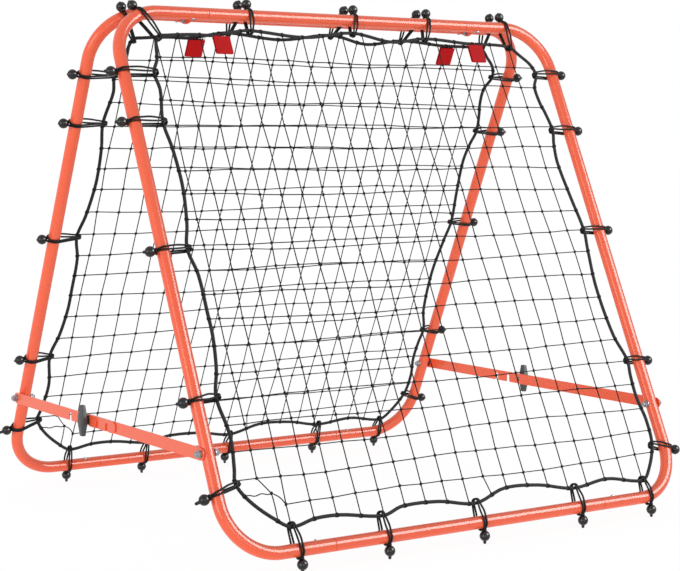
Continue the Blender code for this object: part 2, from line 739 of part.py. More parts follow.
def add_bungee(name, start, angle, ball_out, foot_turn, tied, plane):
    """A bungee loop with its ball. Local X points out of the frame, at an angle in its plane."""
    outward = Vector((math.cos(angle), math.sin(angle)))
    reach = rope_distance(start, -outward)
    if tied:
        path = bungee_path(ball_out, [(-reach, BUNGEE_D / 2 + CLEARANCE)])
        middle = len(path) // 2
        path = path[middle:] + path[:middle]
    else:
        path = bungee_path(ball_out, [(-reach - WRAP_REACH, ROPE_R + BUNGEE_D / 3)])
    turn = Matrix.Rotation(-angle, 3, "Y")
    location = (start.x, 0, start.y)
    width = 2 * BUNGEE_D
    loop = add_strip(name, path, BUNGEE_D, width, not tied, plane, location, turn.to_euler())
    ball_place = start + outward * ball_out
    place = (ball_place.x, 0, ball_place.y)
    if foot_turn is None:
        ball_turn = turn @ Matrix.Rotation(RIGHT_ANGLE, 3, "Y")
        profile = ball_profile(0)
    else:
        ball_turn = Matrix.Rotation(math.pi + foot_turn, 3, "X")
        profile = ball_profile(FOOT_TIP_R)
    ball = add_turned(name + "_ball", profile, BALL_STEPS, plane, place, ball_turn.to_euler())
    combine(loop, ball, "UNION")
    return finish(loop, BLACK_PLASTIC)


def bungee_starts(side_name):
    """Tube point, outward angle and ball distance of each bungee loop on one side, in order."""
    angle = {"right": 0, "top": RIGHT_ANGLE, "left": math.pi, "bottom": -RIGHT_ANGLE}[side_name]
    places = [side_point(side_name, place, 0) for place in BUNGEE_PLACES[side_name]]
    starts = [(place, angle, BALL_OUT) for place in places]
    if side_name in CORNER_BUNGEES:
        corner = corner_bungee_start(side_name)
        starts.insert(0 if side_name == "top" else len(starts), corner)
    return starts


def corner_bungee_start(side_name):
    """The same for the loop on a bend. A foot ball there hangs level with the other feet."""
    hand, level, flat = CORNER_BUNGEES[side_name]
    step = RIGHT_ANGLE / BEND_STEPS
    turn = (flat + 0.5) * step
    outward = Vector((hand * math.sin(turn), level * math.cos(turn)))
    centre_z = -BEND_R if level > 0 else BEND_R - FRAME_HEIGHT
    bend_centre = Vector((hand * (HALF_WIDTH - BEND_R), centre_z))
    flat_r = BEND_R * math.cos(step / 2)
    ball_out = BALL_OUT
    if side_name == "bottom":
        ball_out = (BEND_R + BALL_OUT) / math.cos(turn) - flat_r
    return bend_centre + outward * flat_r, math.atan2(outward.y, outward.x), ball_out


def add_rope(frame, plane):
    """The border rope, in one piece with the bungee loops of its two sides."""
    points = [(point.x, 0, point.y) for point in ROPE_LINE]
    rope = add_tube(f"{frame}_net_rope", points, ROPE_R, ROPE_RESOLUTION, plane, cyclic=True)
    for side_name in ("left", "right"):
        for number, (start, angle, ball_out) in enumerate(bungee_starts(side_name), 1):
            name = f"{frame}_bungee_{side_name}_{number}"
            combine(rope, add_bungee(name, start, angle, ball_out, None, True, plane), "UNION")
    return finish(rope, BLACK_CORD)


def add_loose_bungees(frame, plane):
    """The bungee loops along the top and bottom. The balls of the bottom ones are the feet."""
    foot_turns = {"top": None, "bottom": -FRAME_SIDES[frame] * LEAN}
    for side_name, foot_turn in foot_turns.items():
        for number, (start, angle, ball_out) in enumerate(bungee_starts(side_name), 1):
            name = f"{frame}_bungee_{side_name}_{number}"
            add_bungee(name, start, angle, ball_out, foot_turn, False, plane)


def add_tab(frame, hand_name, place, plane):
    """A strip of webbing folded over the top rope, its two flaps meeting on the net."""
    x = along(place, FRAME_WIDTH) - HALF_WIDTH
    heights = [x - TAB_WIDTH / 2, x, x + TAB_WIDTH / 2]
    heights = [-rope_distance(Vector((value, 0)), Vector((0, -1))) for value in heights]
    crown = max(heights) + ROPE_R + 2 * CLEARANCE
    half = ROPE_R + 2 * CLEARANCE + TAB_THICKNESS / 2
    throat = NET_THICKNESS / 2 + 2 * CLEARANCE + TAB_THICKNESS / 2
    shoulder = TAB_THICKNESS / 2 - ROPE_R / 2
    low = min(heights) - crown
    path = [(-throat, -TAB_LENGTH), (-throat, low - TAB_THROAT), (-half, low)]
    path += [(-half, shoulder), (-half / 2, TAB_THICKNESS / 2)]
    path += [(-u, v) for u, v in path[::-1]]
    turn = Matrix.Rotation(RIGHT_ANGLE, 3, "Z") @ Matrix.Rotation(RIGHT_ANGLE, 3, "X")
    tab = add_strip(
        f"{frame}_tab_{hand_name}", path, TAB_THICKNESS, TAB_WIDTH, False, plane, (x, 0, crown),
        turn.to_euler(),
    )
    return finish(tab, RED_WEBBING)


# Assembly

PLANES = frame_planes()
for frame_name, frame_plane in PLANES.items():
    for hand_label in HAND_SIDES:
        add_side_tube(frame_name, hand_label, frame_plane)
    for level_name in ("top", "bottom"):
        add_straight_tube(frame_name, level_name, frame_plane)
        for hand_label in HAND_SIDES:
            add_snap_button(frame_name, level_name, hand_label, frame_plane)
    add_rope(frame_name, frame_plane)
    add_net(frame_name, frame_plane)
    add_loose_bungees(frame_name, frame_plane)
    for hand_label, tab_place in zip(HAND_SIDES, TAB_PLACES):
        add_tab(frame_name, hand_label, tab_place, frame_plane)
    for hand_label, hand_side in HAND_SIDES.items():
        add_strut_bolt(frame_name, hand_label, frame_plane)
        inner_face = FRONT_BAR_X if frame_name == "front" else REAR_BAR_X
        pivot_place = (hand_side * (inner_face + BAR_THICKNESS / 2), 0, -PIVOT_DOWN)
        level_turn = (-FRAME_SIDES[frame_name] * LEAN, 0, 0)
        pivot_name = f"{frame_name}_strut_pivot_{hand_label}"
        strut_pivot = add_empty(pivot_name, frame_plane, pivot_place, level_turn)
        add_strut_bar(frame_name, hand_label, strut_pivot)
        if frame_name == "rear":
            add_strut_spacer(hand_label, frame_plane)
            add_strut_knob(hand_label, strut_pivot)
for hand_label in HAND_SIDES:
    add_hinge_bolt(hand_label)
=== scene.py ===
"""Soccer rebound net, dressed: two leaning tube frames with a net laced into each of them.

Every piece is made in the coordinates of its own frame: x along the top tube, off the plane
away from the other frame, and z up the plane from the axis of the top tube.
"""
import math
import random

import bmesh
import bpy
from mathutils import Matrix, Vector


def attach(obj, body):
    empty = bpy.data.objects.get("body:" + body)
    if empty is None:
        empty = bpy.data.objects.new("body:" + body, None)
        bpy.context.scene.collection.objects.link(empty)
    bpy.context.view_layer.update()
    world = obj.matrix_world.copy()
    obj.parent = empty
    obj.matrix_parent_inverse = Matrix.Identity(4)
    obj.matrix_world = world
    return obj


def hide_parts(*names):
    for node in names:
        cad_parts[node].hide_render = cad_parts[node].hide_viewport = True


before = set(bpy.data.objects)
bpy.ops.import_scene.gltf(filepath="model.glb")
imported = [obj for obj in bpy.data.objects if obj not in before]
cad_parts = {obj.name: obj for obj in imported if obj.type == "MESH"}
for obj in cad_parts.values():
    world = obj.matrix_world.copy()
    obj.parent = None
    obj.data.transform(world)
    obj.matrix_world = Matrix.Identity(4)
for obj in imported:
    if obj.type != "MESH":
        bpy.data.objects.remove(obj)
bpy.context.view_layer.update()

# Bent side tubes. Each is a C of 22 mm welded steel tube, bent cold in two places, with a hinge
# lug welded under its top arm and holes drilled for the snap buttons. It is powder coated after
# that. Two of them, joined by two straight tubes, make one frame.
FRAME_WIDTH = 0.936
FRAME_HEIGHT = 0.9485
HALF_WIDTH = FRAME_WIDTH / 2
FRAME_GAP = 0.0509
LEAN = math.radians(25.154)
TOP_Z = 0.0135 + (FRAME_HEIGHT + 0.0235) * math.cos(LEAN)
FRAME_SIDES = {"front": -1, "rear": 1}
HAND_SIDES = {"left": -1, "right": 1}
CORNERS = [(f, side, h, hand) for f, side in FRAME_SIDES.items() for h, hand in HAND_SIDES.items()]
TUBE_R = 0.011
BORE_R = 0.0095
BEND_R = 0.090
BEND_STEPS = 24
TUBE_SIDES = 40
TUBE_LIP = 0.0004
JOINT_X = 0.282
CLEARANCE = 0.0003
HOLE_PLAY = 0.0002
PLATE_BEVEL = 0.0003
BUTTON_X = JOINT_X + 0.030
BUTTON_HOLE_R = 0.0034
HINGE_X = 0.310
HINGE_DROP = 0.011
LUG_THICKNESS = 0.003
LUG_END_R = 0.006
LUG_ROOT_WIDTH = 0.0175
HINGE_BOLT_R = 0.003
WELD_R = 0.0011
RIGHT_ANGLE = math.pi / 2


def linear(hex_colour):
    """An sRGB hex colour as the linear colour that a shader takes."""
    parts = [int(hex_colour[i : i + 2], 16) / 255 for i in (1, 3, 5)]
    parts = [c / 12.92 if c <= 0.04045 else ((c + 0.055) / 1.055) ** 2.4 for c in parts]
    return (*parts, 1)


def add_node(tree, kind, settings={}, inputs={}):
    """A shader node. An input that is given a socket is linked to it, another is set."""
    node = tree.nodes.new(kind)
    for name, value in settings.items():
        setattr(node, name, value)
    for name, value in inputs.items():
        if isinstance(value, bpy.types.NodeSocket):
            tree.links.new(value, node.inputs[name])
        else:
            node.inputs[name].default_value = value
    return node


def new_finish(name, constants):
    """A material with its surface shader's constants set: the material, its tree, the shader."""
    finish = bpy.data.materials.new(name)
    finish.use_nodes = True
    shader = finish.node_tree.nodes["Principled BSDF"]
    for socket, value in constants.items():
        shader.inputs[socket].default_value = value
    return finish, finish.node_tree, shader


def noise(tree, size, detail):
    """Soft clouds from 0 to 1, whose largest ones are about a size in metres."""
    place = add_node(tree, "ShaderNodeTexCoord").outputs["Object"]
    inputs = {"Vector": place, "Scale": 1 / size, "Detail": detail}
    return add_node(tree, "ShaderNodeTexNoise", {}, inputs).outputs["Fac"]


def tint(tree, shader, share, dark, light):
    """Base colour that goes from one sRGB colour to another with a share."""
    inputs = {0: share, 6: linear(dark), 7: linear(light)}
    colour = add_node(tree, "ShaderNodeMix", {"data_type": "RGBA"}, inputs)
    tree.links.new(colour.outputs[2], shader.inputs["Base Color"])


def vary_gloss(tree, shader, share, low, high):
    """Roughness that goes from one value to another with a share."""
    inputs = {"Value": share, "To Min": low, "To Max": high}
    rough = add_node(tree, "ShaderNodeMapRange", {}, inputs)
    tree.links.new(rough.outputs[0], shader.inputs["Roughness"])


def add_bump(tree, shader, height, strength, distance):
    """Relief from a height between 0 and 1, over a distance in metres."""
    inputs = {"Strength": strength, "Distance": distance, "Height": height}
    bump = add_node(tree, "ShaderNodeBump", {}, inputs)
    tree.links.new(bump.outputs["Normal"], shader.inputs["Normal"])


def powder_coated_steel():
    """Polyester powder baked on steel: a gloss with crisp light lines, hardly rippled."""
    finish, tree, shader = new_finish("powder_coated_steel", {"IOR": 1.5})
    tint(tree, shader, noise(tree, 0.15, 1), "#F65F3A", "#FB6944")
    vary_gloss(tree, shader, noise(tree, 0.02, 3), 0.14, 0.22)
    # The ripple of real powder is about 1.5 mm from crest to crest
    add_bump(tree, shader, noise(tree, 0.0015, 1), 0.012, 0.00001)
    return finish


POWDER_COATED_STEEL = powder_coated_steel()


def plane_matrix(frame_name):
    """From the coordinates of a frame's plane to the world."""
    side = FRAME_SIDES[frame_name]
    place = Matrix.Translation((0, side * FRAME_GAP / 2, TOP_Z))
    return place @ Matrix.Rotation(side * LEAN, 4, "X")


def arc(centre, radius, start, end, steps):
    """Points on an arc, both ends included."""
    turns = [start + (end - start) * i / steps for i in range(steps + 1)]
    return [(centre[0] + radius * math.cos(t), centre[1] + radius * math.sin(t)) for t in turns]


def circle(centre, radius, count):
    """Points all round a circle, each one once."""
    return arc(centre, radius, 0, 2 * math.pi * (1 - 1 / count), count - 1)


def round_section(sides):
    return circle((0, 0), 1, sides)


def rings_along(path, section, sizes, start_normal=None, closed=False):
    """The section repeated at each point of a path, turned no more than the path turns."""
    path = [Vector(point) for point in path]
    count = len(path)
    rings = []
    normal = start_normal
    last = None
    for i, point in enumerate(path):
        before = path[i - 1] if i or closed else point
        after = path[(i + 1) % count] if i + 1 < count or closed else point
        tangent = (after - before).normalized()
        if normal is None:
            normal = tangent.orthogonal()
        if last is not None:
            normal = last.rotation_difference(tangent) @ normal
        normal = (normal - tangent * normal.dot(tangent)).normalized()
        across = tangent.cross(normal)
        last = tangent
        size = sizes[i] if isinstance(sizes, list) else sizes
        rings.append([point + (normal * a + across * b) * size for a, b in section])
    return rings


def skin(bm, rings, closed=False):
    """Faces between neighbouring rings, with their ends closed. UVs are metres round and along."""
    uv_layer = bm.loops.layers.uv.verify()
    sides = len(rings[0])
    width = max((ring[1] - ring[0]).length for ring in rings)
    verts = [[bm.verts.new(point) for point in ring] for ring in rings]
    along = 0.0
    for i in range(len(rings) if closed else len(rings) - 1):
        j = (i + 1) % len(rings)
        step = (rings[j][0] - rings[i][0]).length
        for k in range(sides):
            m = (k + 1) % sides
            face = bm.faces.new((verts[i][k], verts[i][m], verts[j][m], verts[j][k]))
            corners = ((k, 0), (k + 1, 0), (k + 1, 1), (k, 1))
            for loop, (a, b) in zip(face.loops, corners):
                loop[uv_layer].uv = (a * width, along + b * step)
        along += step
    if not closed:
        bm.faces.new(verts[0])
        bm.faces.new(verts[-1])


def turned(bm, profile, sides, place=Matrix()):
    """A lathe form round local Z, from (radius, height) pairs."""
    section = round_section(sides)
    rings = [[place @ Vector((a * r, b * r, z)) for a, b in section] for r, z in profile]
    skin(bm, rings, closed=profile[0] == profile[-1])


def new_object(name, data):
    thing = bpy.data.objects.new(name, data)
    bpy.context.scene.collection.objects.link(thing)
    return thing


def add_piece(name, bm, finish, sharp=35):
    """An object from a mesh, shaded smooth but for its sharp edges."""
    bmesh.ops.recalc_face_normals(bm, faces=bm.faces)
    mesh = bpy.data.meshes.new(name)
    bm.to_mesh(mesh)
    bm.free()
    mesh.shade_smooth()
    mesh.set_sharp_from_angle(angle=math.radians(sharp))
    mesh.materials.append(finish)
    return new_object(name, mesh)


def cut(piece, cutter_bm):
    """Cuts the cutter's solids out of a piece."""
    cutter = add_piece("cutter", cutter_bm, None)
    hole = piece.modifiers.new("holes", "BOOLEAN")
    hole.object = cutter
    hole.solver = "EXACT"
    graph = bpy.context.evaluated_depsgraph_get()
    mesh = bpy.data.meshes.new_from_object(piece.evaluated_get(graph))
    piece.modifiers.clear()
    piece.data = mesh
    bpy.data.objects.remove(cutter)


def plate_mesh(bm, outlines, thickness, place):
    """A flat plate with rounded edges. The first outline is its edge, the others its holes."""
    curve = bpy.data.curves.new("plate", "CURVE")
    curve.dimensions = "2D"
    curve.fill_mode = "BOTH"
    curve.extrude = thickness / 2 - PLATE_BEVEL
    curve.bevel_depth = PLATE_BEVEL
    curve.bevel_resolution = 2
    curve.offset = -PLATE_BEVEL
    for outline in outlines:
        spline = curve.splines.new("POLY")
        spline.use_cyclic_u = True
        spline.points.add(len(outline) - 1)
        for point, (x, y) in zip(spline.points, outline):
            point.co = (x, y, 0, 1)
    plate = new_object("plate", curve)
    mesh = bpy.data.meshes.new_from_object(plate)
    mesh.transform(place)
    bm.from_mesh(mesh)
    bpy.data.objects.remove(plate)


def lug_place(side):
    """Where the hinge axis lies, as (local Y, local Z) of the frame's plane."""
    angle = side * LEAN
    across = -side * FRAME_GAP / 2
    local_y = across * math.cos(angle) - HINGE_DROP * math.sin(angle)
    local_z = -across * math.sin(angle) - HINGE_DROP * math.cos(angle)
    return local_y, local_z


def side_tube_path(hand, start_x):
    """The C shaped axis, from the top joint to the bottom one."""
    inner_x = HALF_WIDTH - BEND_R
    path = [(start_x, 0), (start_x + TUBE_LIP, 0)]
    path += arc((inner_x, -BEND_R), BEND_R, RIGHT_ANGLE, 0, BEND_STEPS)
    path += arc((inner_x, BEND_R - FRAME_HEIGHT), BEND_R, 0, -RIGHT_ANGLE, BEND_STEPS)
    path += [(start_x + TUBE_LIP, -FRAME_HEIGHT), (start_x, -FRAME_HEIGHT)]
    return [(hand * x, 0, z) for x, z in path]


def add_weld(bm, aim, x):
    """The bead round the foot of the lug, where it meets the tube."""
    half = LUG_THICKNESS / 2 + WELD_R / 2
    spread = math.asin(LUG_ROOT_WIDTH / 2 / TUBE_R) * 0.98
    loop = [(half, spread * i / 8) for i in range(-8, 9)]
    loop += [(-half, -spread * i / 8) for i in range(-8, 9)]
    bead = []
    for across, turn in loop:
        reach = TUBE_R - WELD_R * 0.2
        bead.append((x + across, reach * math.cos(aim + turn), reach * math.sin(aim + turn)))
    ripple = [WELD_R * (1 + 0.12 * (i % 2)) for i in range(len(bead))]
    skin(bm, rings_along(bead, round_section(10), ripple, closed=True), closed=True)


for frame_name, side, hand_name, hand in CORNERS:
    local_y, local_z = lug_place(side)
    lug_aim = math.atan2(local_z, local_y)
    lug_reach = math.hypot(local_y, local_z)
    node = f"{frame_name}_side_tube_{hand_name}"
    bm = bmesh.new()
    path = side_tube_path(hand, JOINT_X + CLEARANCE)
    outer = [TUBE_R - TUBE_LIP] + [TUBE_R] * (len(path) - 2) + [TUBE_R - TUBE_LIP]
    rings = rings_along(path, round_section(TUBE_SIDES), outer, Vector((0, 1, 0)))
    bore = rings_along(path, round_section(TUBE_SIDES), BORE_R, Vector((0, 1, 0)))
    skin(bm, rings + bore[::-1], closed=True)
    tube = add_piece(node + "_coated", bm, POWDER_COATED_STEEL)
    holes = bmesh.new()
    for z, up in ((0, -1), (-FRAME_HEIGHT, 1)):
        profile = [(BUTTON_HOLE_R, up * 0.004), (BUTTON_HOLE_R, up * 2 * TUBE_R)]
        turned(holes, profile, 32, Matrix.Translation((hand * BUTTON_X, 0, z)))
    cut(tube, holes)
    bm = bmesh.new()
    bm.from_mesh(tube.data)
    lug_x = hand * (HINGE_X + side * (LUG_THICKNESS / 2 + CLEARANCE))
    outline = [(BORE_R, -LUG_ROOT_WIDTH / 2)]
    outline += arc((lug_reach, 0), LUG_END_R, -RIGHT_ANGLE, RIGHT_ANGLE, 24)
    outline.append((BORE_R, LUG_ROOT_WIDTH / 2))
    pin = circle((lug_reach, 0), HINGE_BOLT_R + HOLE_PLAY, 24)
    turn = Matrix.Rotation(lug_aim, 4, "X") @ Matrix.Rotation(RIGHT_ANGLE, 4, "Z")
    turn = turn @ Matrix.Rotation(RIGHT_ANGLE, 4, "X")
    place = Matrix.Translation((lug_x, 0, 0)) @ turn
    plate_mesh(bm, [outline, pin], LUG_THICKNESS, place)
    add_weld(bm, lug_aim, lug_x)
    bm.transform(plane_matrix(frame_name))
    bpy.data.objects.remove(tube)
    tube = add_piece(node + "_coated", bm, POWDER_COATED_STEEL)
    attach(tube, f"{frame_name} frame")
    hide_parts(node)

# Straight tubes. Each is the same steel tube, swaged down at both ends into a spigot that slides
# 58 mm into the side tubes. The coating runs over the shoulder and shows as a fine line there.
SPIGOT_R = 0.0092
SPIGOT_BORE_R = 0.0075
SPIGOT_LENGTH = 0.058
for frame_name in FRAME_SIDES:
    for level, z in (("top", 0), ("bottom", -FRAME_HEIGHT)):
        node = f"{frame_name}_{level}_tube"
        shoulder = JOINT_X - CLEARANCE
        half = [
            (SPIGOT_BORE_R, JOINT_X + SPIGOT_LENGTH), (SPIGOT_R - 0.0005, JOINT_X + SPIGOT_LENGTH),
            (SPIGOT_R, JOINT_X + SPIGOT_LENGTH - 0.0008), (SPIGOT_R, shoulder),
            (TUBE_R - TUBE_LIP, shoulder), (TUBE_R, shoulder - TUBE_LIP),
        ]
        profile = half + [(r, -height) for r, height in half[::-1]] + half[:1]
        bm = bmesh.new()
        turned(bm, profile, TUBE_SIDES, Matrix.Rotation(RIGHT_ANGLE, 4, "Y"))
        tube = add_piece(node + "_coated", bm, POWDER_COATED_STEEL)
        holes = bmesh.new()
        up = -1 if level == "top" else 1
        for hand in HAND_SIDES.values():
            profile = [(BUTTON_HOLE_R, up * 0.003), (BUTTON_HOLE_R, up * 2 * TUBE_R)]
            turned(holes, profile, 32, Matrix.Translation((hand * BUTTON_X, 0, 0)))
        cut(tube, holes)
        tube.data.transform(plane_matrix(frame_name) @ Matrix.Translation((0, 0, z)))
        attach(tube, f"{frame_name} frame")
        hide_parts(node)

# Snap buttons. Each is a turned steel pin riveted to a bent leaf spring inside the spigot, which
# pushes it out through both holes and locks the joint. Both parts are zinc plated.
BUTTON_R = 0.0032
BUTTON_PROUD = 0.0018
BUTTON_SEAT = 0.0038
LEAF_SECTION = [(-0.0025, -0.0004), (0.0025, -0.0004), (0.0025, 0.0004), (-0.0025, 0.0004)]


def zinc_plated_steel():
    """Bright zinc over machined steel: a cool grey metal with a faint cloudy grain."""
    finish, tree, shader = new_finish("zinc_plated_steel", {"Metallic": 1})
    cloud = noise(tree, 0.003, 4)
    tint(tree, shader, cloud, "#7E8185", "#B4B6B8")
    vary_gloss(tree, shader, cloud, 0.22, 0.38)
    add_bump(tree, shader, cloud, 0.2, 0.00003)
    return finish


ZINC_PLATED_STEEL = zinc_plated_steel()

for frame_name in FRAME_SIDES:
    for level, z in (("top", 0), ("bottom", -FRAME_HEIGHT)):
        for hand_name, hand in HAND_SIDES.items():
            node = f"{frame_name}_{level}_snap_button_{hand_name}"
            tip = TUBE_R + BUTTON_PROUD
            seat = BUTTON_SEAT
            profile = [(BUTTON_R, seat), (BUTTON_R, tip - 0.0012), (0.0030, tip - 0.0006)]
            profile += [(0.0024, tip - 0.0001), (0.0010, tip), (0.0002, tip)]
            bm = bmesh.new()
            turned(bm, profile, 32)
            leaf = [(-0.0036, 0, seat), (0.0034, 0, seat), (0.0044, 0, seat - 0.0004)]
            leaf += [(0.0350, 0, -0.0026), (0.0364, 0, -0.0024)]
            leaf = [(-hand * x, y, height) for x, y, height in leaf]
            skin(bm, rings_along(leaf, LEAF_SECTION, 1, Vector((0, 1, 0))))
            up = Matrix.Rotation(math.pi if level == "top" else 0, 4, "X")
            place = Matrix.Translation((hand * BUTTON_X, 0, z)) @ up
            bm.transform(plane_matrix(frame_name) @ place)
            button = add_piece(node + "_zinc", bm, ZINC_PLATED_STEEL)
            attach(button, f"{frame_name} {level} snap button {hand_name}")
            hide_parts(node)

# Hinge bolts. Each pair of lugs, front and rear, lies side by side and turns on a small hex bolt
# with a lock nut, in zinc plated steel.
HINGE_HEAD_R = 0.0048
HINGE_HEAD_LENGTH = 0.004
HINGE_THREAD_PITCH = 0.001
LENGTHWISE = {
    name: Matrix.Rotation(hand * RIGHT_ANGLE, 4, "Y") for name, hand in HAND_SIDES.items()
}


def hexagon(bm, corner_r, base, top, place):
    """A hex head or nut whose top corners are chamfered by a cone, as a real one's are."""
    flat_r = corner_r * math.cos(math.pi / 6)
    rise = math.copysign(1, top - base)
    rings = [[], [], [], []]
    for i in range(48):
        turn = 2 * math.pi * i / 48
        radius = flat_r / math.cos((turn + math.pi / 6) % (math.pi / 3) - math.pi / 6)
        drop = (radius - flat_r * 0.97) * math.tan(math.radians(30))
        for ring, reach, height in zip(
            rings, (radius, radius, flat_r * 0.97, 0.0005), (base, top - rise * drop, top, top)
        ):
            ring.append(place @ Vector((reach * math.cos(turn), reach * math.sin(turn), height)))
    skin(bm, rings)


def threaded_end(bm, radius, start, end, pitch, place):
    """The end of a bolt, with the crests and roots of its thread and a chamfered tip."""
    step = math.copysign(pitch / 2, end - start)
    turns = int(abs((end - start) / step))
    profile = [(radius * (1 if i % 2 else 0.9), start + i * step) for i in range(turns)]
    profile += [(radius * 0.82, end), (0.0004, end)]
    turned(bm, profile, 24, place)


for hand_name, hand in HAND_SIDES.items():
    place = Matrix.Translation((0, 0, TOP_Z - HINGE_DROP)) @ LENGTHWISE[hand_name]
    inner = HINGE_X - LUG_THICKNESS - 2 * CLEARANCE
    outer = HINGE_X + LUG_THICKNESS + 2 * CLEARANCE
    bm = bmesh.new()
    turned(bm, [(HINGE_BOLT_R, inner - 0.001), (HINGE_BOLT_R, outer + 0.001)], 24, place)
    hexagon(bm, HINGE_HEAD_R, outer, outer + HINGE_HEAD_LENGTH, place)
    hexagon(bm, HINGE_HEAD_R, inner, inner - HINGE_HEAD_LENGTH, place)
    nut_end = inner - HINGE_HEAD_LENGTH
    thread = (nut_end + 0.001, nut_end - 0.002, HINGE_THREAD_PITCH)
    threaded_end(bm, HINGE_BOLT_R, *thread, place)
    bolt = add_piece(f"hinge_bolt_{hand_name}_zinc", bm, ZINC_PLATED_STEEL)
    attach(bolt, "front frame")
    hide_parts(f"hinge_bolt_{hand_name}")

# Strut bars. Each is 2 mm steel strip with round ends, punched and powder coated. The front one
# has a hole for the clamp stud, the rear one five notches that hook over it from above.
PIVOT_DOWN = FRAME_HEIGHT - 0.1695
PIVOT_Y = FRAME_GAP / 2 + PIVOT_DOWN * math.sin(LEAN)
PIVOT_Z = TOP_Z - PIVOT_DOWN * math.cos(LEAN)
STRUT_BOLT_R = 0.004
THREAD_PITCH = 0.00125
THREAD_PROUD = 0.0026
BAR_HEIGHT = 0.0205
BAR_THICKNESS = 0.002
STUD_Y = 0.043
STUD_R = 0.004
NOTCH_R = 0.0046
NOTCH_CHAMFER = 0.0012
SETTING_PITCH = 0.0365
BAR_END_MARGIN = 0.023
FRONT_BAR_X = HALF_WIDTH + TUBE_R + CLEARANCE
REAR_BAR_X = FRONT_BAR_X + BAR_THICKNESS + CLEARANCE


def strut_outlines(frame_name):
    """Edge and holes of a bar, from its pivot: x towards the other frame, y up."""
    end_r = BAR_HEIGHT / 2
    stud_reach = PIVOT_Y - FRAME_SIDES[frame_name] * STUD_Y
    holes = [circle((0, 0), STRUT_BOLT_R + HOLE_PLAY, 24)]
    edge = arc((0, 0), end_r, RIGHT_ANGLE, 3 * RIGHT_ANGLE, 24)
    if frame_name == "front":
        length = stud_reach
        holes.append(circle((length, 0), STUD_R + HOLE_PLAY, 24))
    else:
        length = stud_reach + 2 * SETTING_PITCH + BAR_END_MARGIN
        for i in range(-2, 3):
            place = stud_reach + i * SETTING_PITCH
            near, far = place - NOTCH_R, place + NOTCH_R
            edge += [(near - NOTCH_CHAMFER, -end_r), (near, -end_r + NOTCH_CHAMFER)]
            edge += arc((place, 0), NOTCH_R, math.pi, 0, 16)
            edge += [(far, -end_r + NOTCH_CHAMFER), (far + NOTCH_CHAMFER, -end_r)]
    edge += arc((length, 0), end_r, -RIGHT_ANGLE, RIGHT_ANGLE, 24)
    return [edge] + holes


for frame_name, side, hand_name, hand in CORNERS:
    node = f"{frame_name}_strut_bar_{hand_name}"
    inner_x = FRONT_BAR_X if frame_name == "front" else REAR_BAR_X
    pivot = (hand * (inner_x + BAR_THICKNESS / 2), side * PIVOT_Y, PIVOT_Z)
    turn = Matrix.Rotation(-side * RIGHT_ANGLE, 4, "Z") @ Matrix.Rotation(RIGHT_ANGLE, 4, "X")
    bm = bmesh.new()
    place = Matrix.Translation(pivot) @ turn
    plate_mesh(bm, strut_outlines(frame_name), BAR_THICKNESS, place)
    bar = add_piece(node + "_coated", bm, POWDER_COATED_STEEL)
    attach(bar, f"{frame_name} strut bar {hand_name}")
    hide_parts(node)

# Strut bolts. An M8 stud with a washer and a nut at both ends holds each bar to its leg, zinc
# plated. On the rear legs a black nylon ring behind the bar makes up the front bar's thickness.
STRUT_HEAD_R = 0.0059
STRUT_HEAD_LENGTH = 0.0053
WASHER_R = 0.0066
WASHER_THICKNESS = 0.0015


def black_nylon():
    """Moulded nylon, unpolished: a matt black with a fine grain from the mould."""
    constants = {"Roughness": 0.5, "IOR": 1.53}
    finish, tree, shader = new_finish("black_moulded_nylon", constants)
    grain = noise(tree, 0.0006, 2)
    tint(tree, shader, grain, "#1E1E20", "#2A2A2C")
    add_bump(tree, shader, grain, 0.3, 0.00004)
    return finish


BLACK_NYLON = black_nylon()


def washer(bm, inner_r, outer_r, start, end, place):
    """A flat ring with broken edges."""
    chamfer = 0.0002
    low, high = sorted((start, end))
    profile = [
        (inner_r, low), (outer_r - chamfer, low), (outer_r, low + chamfer),
        (outer_r, high - chamfer), (outer_r - chamfer, high), (inner_r, high), (inner_r, low),
    ]
    turned(bm, profile, 48, place)


for frame_name, side, hand_name, hand in CORNERS:
    place = Matrix.Translation((0, side * PIVOT_Y, PIVOT_Z))
    place = place @ Matrix.Rotation(side * LEAN, 4, "X") @ LENGTHWISE[hand_name]
    bar_x = FRONT_BAR_X if frame_name == "front" else REAR_BAR_X
    inner = HALF_WIDTH - TUBE_R - CLEARANCE
    outer = bar_x + BAR_THICKNESS + CLEARANCE
    head = outer + WASHER_THICKNESS
    nut = inner - WASHER_THICKNESS
    bm = bmesh.new()
    turned(bm, [(STRUT_BOLT_R, nut - 0.001), (STRUT_BOLT_R, head + 0.001)], 24, place)
    washer(bm, STRUT_BOLT_R, WASHER_R, outer, head, place)
    washer(bm, STRUT_BOLT_R, WASHER_R, inner, nut, place)
    hexagon(bm, STRUT_HEAD_R, head, head + STRUT_HEAD_LENGTH, place)
    hexagon(bm, STRUT_HEAD_R, nut, nut - STRUT_HEAD_LENGTH, place)
    for end, way in ((head + STRUT_HEAD_LENGTH, 1), (nut - STRUT_HEAD_LENGTH, -1)):
        thread = (end - way * 0.001, end + way * THREAD_PROUD, THREAD_PITCH)
        threaded_end(bm, STRUT_BOLT_R, *thread, place)
    node = f"{frame_name}_strut_bolt_{hand_name}"
    bolt = add_piece(node + "_zinc", bm, ZINC_PLATED_STEEL)
    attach(bolt, f"{frame_name} frame")
    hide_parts(node)
    if frame_name == "rear":
        bm = bmesh.new()
        end = REAR_BAR_X - CLEARANCE
        washer(bm, STRUT_BOLT_R + 0.0001, WASHER_R, FRONT_BAR_X, end, place)
        ring = add_piece(f"rear_strut_spacer_{hand_name}_nylon", bm, BLACK_NYLON)
        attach(ring, "rear frame")
        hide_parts(f"rear_strut_spacer_{hand_name}")

